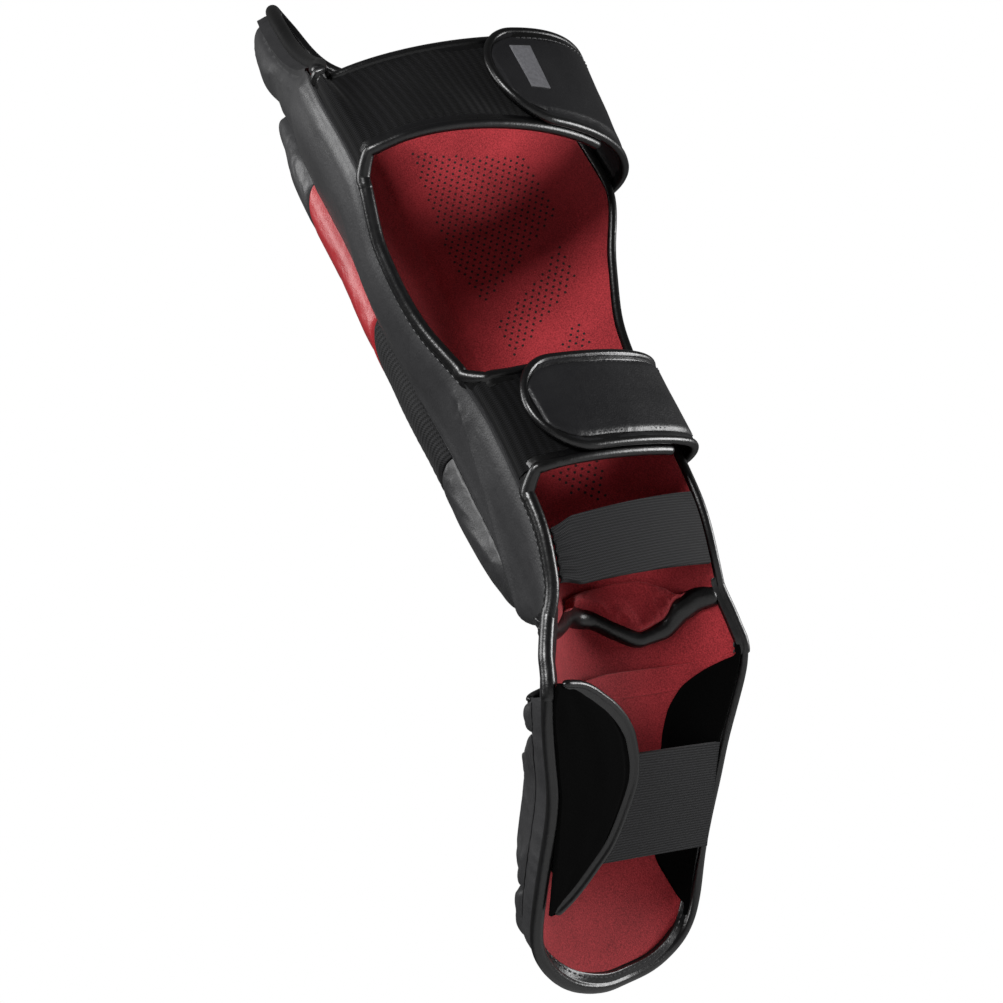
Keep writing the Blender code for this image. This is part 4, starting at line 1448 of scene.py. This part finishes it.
# Free edge of the inner flap: t, and length from the front centre of the foot pad.
INNER_FLAP = (
    (6, 84), (10, 78), (18, 64), (24, 54), (32, 44), (44, 38), (56, 36.5), (100, 37.5),
    (116, 40), (128, 46), (138, 50), (142, 57),
)


def make_wings(skins):
    """The D-shaped flaps: one lies across the sole side, the other is folded in on the lining.
    The inner one's near-black is partly painted shade of the region along the inner edge.
    """

    def flap(u, v, height):
        t = FLAP_FIRST + (FLAP_LAST - FLAP_FIRST) * v
        edge = foot_half(t) + 2.2
        return foot_plane(edge - u * (1 + FLAP_REACH * curve(FLAP_SHAPE, v)), height, t)

    u = spread(50)[None, :]
    v = (0.5 - 0.5 * np.cos(np.pi * spread(80)))[:, None]
    inside = ease((1 - u) * curve(FLAP_SHAPE, v) * 5)
    groove = 0.7 * bump((1 - u) * FLAP_REACH - 6.5, 0.9) * inside
    crown = 0.9 * inside + 0.25 * noise(u * 5, v * 7, 95) - groove
    grid = u + 0 * v, v + 0 * u
    outer = solid("outer_wing", flap(*grid, -2.6 - crown), flap(*grid, -1.2), skins["flap"])
    give(outer, "foot", "black_leather", "foot_wing_outer_side")

    v = (0.5 - 0.5 * np.cos(np.pi * spread(90))) * 0.996 + 0.002
    path = flap(1.0 + 0 * v, v, -2.6)
    up = np.broadcast_to(foot_way(0, -1, 0), path.shape)
    roll, *_ = tape(path, up, foot_way(0, 0, -1), tape_roll(1.9, 4.2, 0.2), 1.4)
    edge = joined("outer_wing_edge", [roll], skins["edge"])
    give(edge, "foot", "black_leather", "foot_wing_piping")

    # Inner flap on the lining: its near-black is partly painted shade along the inner edge.
    v = spread(90)[:, None]
    t = 8.5 + 133 * v + 0 * u
    free = np.minimum(curve(INNER_FLAP, t), FOOT.length(t) - 3.4)
    s = -(free + (FOOT.length(t) - 0.9 - free) * u)
    lift = foot_lining_out(s, t)
    inner = solid(
        "inner_wing_and_shade", foot(s, t, lift - 0.5 - 1.2 * ease(u * 12)), foot(s, t, lift - 0.15), skins["flap"]
    )
    give(inner, "foot", "black_leather", "foot_wing_inner_side")


def make_foot_elastic(skins):
    """The webbing under the foot, sewn to the pad's edge at both ends."""
    u = spread(80)[:, None]
    v = spread(41)[None, :]
    ribs = 0.12 * np.sin(2 * math.pi * v * 20)
    x = FOOT_BAND_X - FOOT_BAND_SPAN * u + 0 * v
    t = FOOT_BAND_T + (FOOT_BAND_WIDE + FOOT_BAND_WIDENS * u) * v + FOOT_BAND_SLANT * u
    dip = 1.2 * np.sin(np.pi * u)
    near = foot_plane(x, 0.1 - ribs + dip * 0.3, t)
    strap = solid("foot_elastic", near, foot_plane(x, 1.7 + ribs + dip * 0.3, t), skins["webbing"])
    give(strap, "foot", "elastic", "foot_elastic_strap")


def gusset_side(side):
    """The gusset's rolled edge: from the shell's edge down to the foot pad's edge."""
    z = np.array([24.0, 19.0])
    top = shin(side * shin_reach(z, side), z, SHIN_EDGE_THICK / 2)
    t = np.array([-5.0, 1.0, 7.0, 14.0])
    return resample(np.vstack([top, foot(side * FOOT.length(t), t, FOOT_EDGE_THICK / 2)]), 1.0)


def make_gusset(skins):
    """The soft strip that joins the shell's hem to the foot pad, with folds in it: red
    lining inside, black leather outside and a rolled edge at each side."""
    u = np.linspace(-1, 1, 81)[None, :]
    v = spread(30)[:, None]
    reach = np.where(u > 0, shin_reach(18.0, 1), shin_reach(18.0, -1))
    s_top = u * (reach - 1.5)
    z_top = curve(HEM_WAVE, s_top) + 4 * (1 - u**8)
    t_low = foot_top(u) + 12 - 4 * np.abs(u) ** 8
    s_low = u * (FOOT.length(t_low) - 1.5)
    sides = []
    for side in (-1, 1):
        line = gusset_side(side)
        sides.append(read_columns(v[:, 0], np.linspace(0, 1, len(line)), line))

    def surface(high_out, low_out, dip):
        high = shin(s_top, z_top, high_out)[None, 0] + 0 * v[..., None]
        low = foot(s_low, t_low, low_out)[None, 0] + 0 * v[..., None]
        share = (0.35 * v + 0.65 * ease(v))[..., None]
        path = high * (1 - share) + low * share
        slack = np.sin(np.pi * v) * (1 - v) * (1 - 0.6 * np.abs(u))
        folds = 1.3 * noise(u * 5 + v, v * 2.5, 97) + 0.9 * creases(u * 50, 20 * v, 98, 9.0, 20.0)
        path[..., 1] -= (dip + folds) * slack
        near = (np.abs(u) ** 14)[..., None]
        for column, line in zip((0, -1), sides):
            shift = (line - path[:, column])[:, None]
            half = (u > 0) if column else (u < 0)
            path = path + shift * near * half[..., None]
        return path

    red = surface(1.4, -0.6, 2.0)
    depth = np.array([0.0, -0.7, 0.0])
    inside = solid("ankle_gusset_lining", red, red + depth, skins["lining"])
    back = surface(4.4, 3.0, 3.5)
    outside = solid("ankle_gusset", back + [0, -0.2, 0], back + depth + [0, -0.4, 0], skins["black"])
    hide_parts("ankle_fold_strip")
    edges = []
    for side, line in zip((-1, 1), sides):
        outward = np.repeat(np.array([[0.45 * side, -1.0, 0.0]]), len(line), axis=0)
        size = np.full(len(line), 1.07 if side > 0 else 0.84)
        roll, *_ = tape(line, outward, (side, 0, 0), tape_roll(3.0, 5.6), 1.5, size)
        edges.append(roll)
    rolls = joined("ankle_gusset_edges", edges, skins["edge"])
    for piece in (inside, outside, rolls):
        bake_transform(piece)


# ---------------------------------------------------------------- camera, floor and light


def make_camera():
    """The camera, rolled about its own axis. Gives its right, up and back directions."""
    azimuth, elevation = math.radians(CAMERA_AZIMUTH), math.radians(CAMERA_ELEVATION)
    level = math.cos(elevation)
    back = Vector((math.sin(azimuth) * level, -math.cos(azimuth) * level, math.sin(elevation)))
    right = Vector((math.cos(azimuth), math.sin(azimuth), 0.0))
    up = back.cross(right)
    turn = math.radians(CAMERA_ROLL)
    across = right * math.cos(turn) + up * math.sin(turn)
    rise = up * math.cos(turn) - right * math.sin(turn)
    data = bpy.data.cameras.new("camera")
    data.lens = CAMERA_LENS
    data.sensor_width = 36.0
    data.clip_start = 0.01
    camera = bpy.data.objects.new("camera", data)
    matrix = Matrix((across, rise, back)).transposed().to_4x4()
    matrix.translation = Vector(CAMERA_TARGET) + back * CAMERA_DISTANCE
    camera.matrix_world = matrix
    bpy.context.scene.collection.objects.link(camera)
    bpy.context.scene.camera = camera
    return across, rise, back


def make_floor():
    """A plain floor under the guard."""
    data = bpy.data.meshes.new("floor")
    signs = ((-1, -1), (1, -1), (1, 1), (-1, 1))
    corners = [(x * FLOOR_HALF, y * FLOOR_HALF, FLOOR_Z) for x, y in signs]
    data.from_pydata(corners, [], [(0, 1, 2, 3)])
    floor = bpy.data.objects.new("floor", data)
    bpy.context.scene.collection.objects.link(floor)
    data.materials.append(plain("floor_paint", (0.85, 0.85, 0.85), 0.9, 20.0, 0.0))


def make_light(name, offset, size, power):
    """A square soft light at an offset in metres from the camera's target, facing it."""
    data = bpy.data.lights.new(name, "AREA")
    data.shape = "SQUARE"
    data.size = size
    data.energy = power
    lamp = bpy.data.objects.new(name, data)
    target = Vector(CAMERA_TARGET) + Vector((0, 0, 0.05))
    lamp.location = target + offset
    lamp.rotation_euler = (-offset).to_track_quat("-Z", "Y").to_euler()
    bpy.context.scene.collection.objects.link(lamp)


def make_lights(across, rise, back):
    """The three soft lights, and a background that is white for the camera and dim otherwise."""
    for name, (x, y, z), size, power in LIGHTS:
        make_light(name, x * across + y * rise + z * back, size, power)
    world = bpy.data.worlds.new("studio")
    world.use_nodes = True
    nodes, links = world.node_tree.nodes, world.node_tree.links
    seen = nodes.new("ShaderNodeLightPath").outputs["Is Camera Ray"]
    links.new(ranged(nodes, links, seen, AMBIENT, 1.0), nodes["Background"].inputs["Strength"])
    nodes["Background"].inputs["Color"].default_value = (1.0, 1.0, 1.0, 1.0)
    bpy.context.scene.world = world
    bpy.context.scene.view_settings.view_transform = "Standard"


def main():
    """Makes the camera, the stage, the materials and then every piece."""
    axes = make_camera()
    make_floor()
    make_lights(*axes)
    skins = make_materials()
    make_shin_layers(skins)
    make_shin_binding(skins)
    make_tongue_facing(skins)
    make_shin_hem(skins)
    make_lining_roll(skins)
    make_holes(skins)
    make_bar(skins)
    for band in (UPPER, LOWER):
        make_elastic(band, skins)
        make_strap(band, skins)
    make_label(skins)
    make_ankle_band(skins)
    make_foot_layers(skins)
    make_foot_binding(skins)
    make_instep(skins)
    make_foot_elastic(skins)
    make_wings(skins)
    make_gusset(skins)


main()
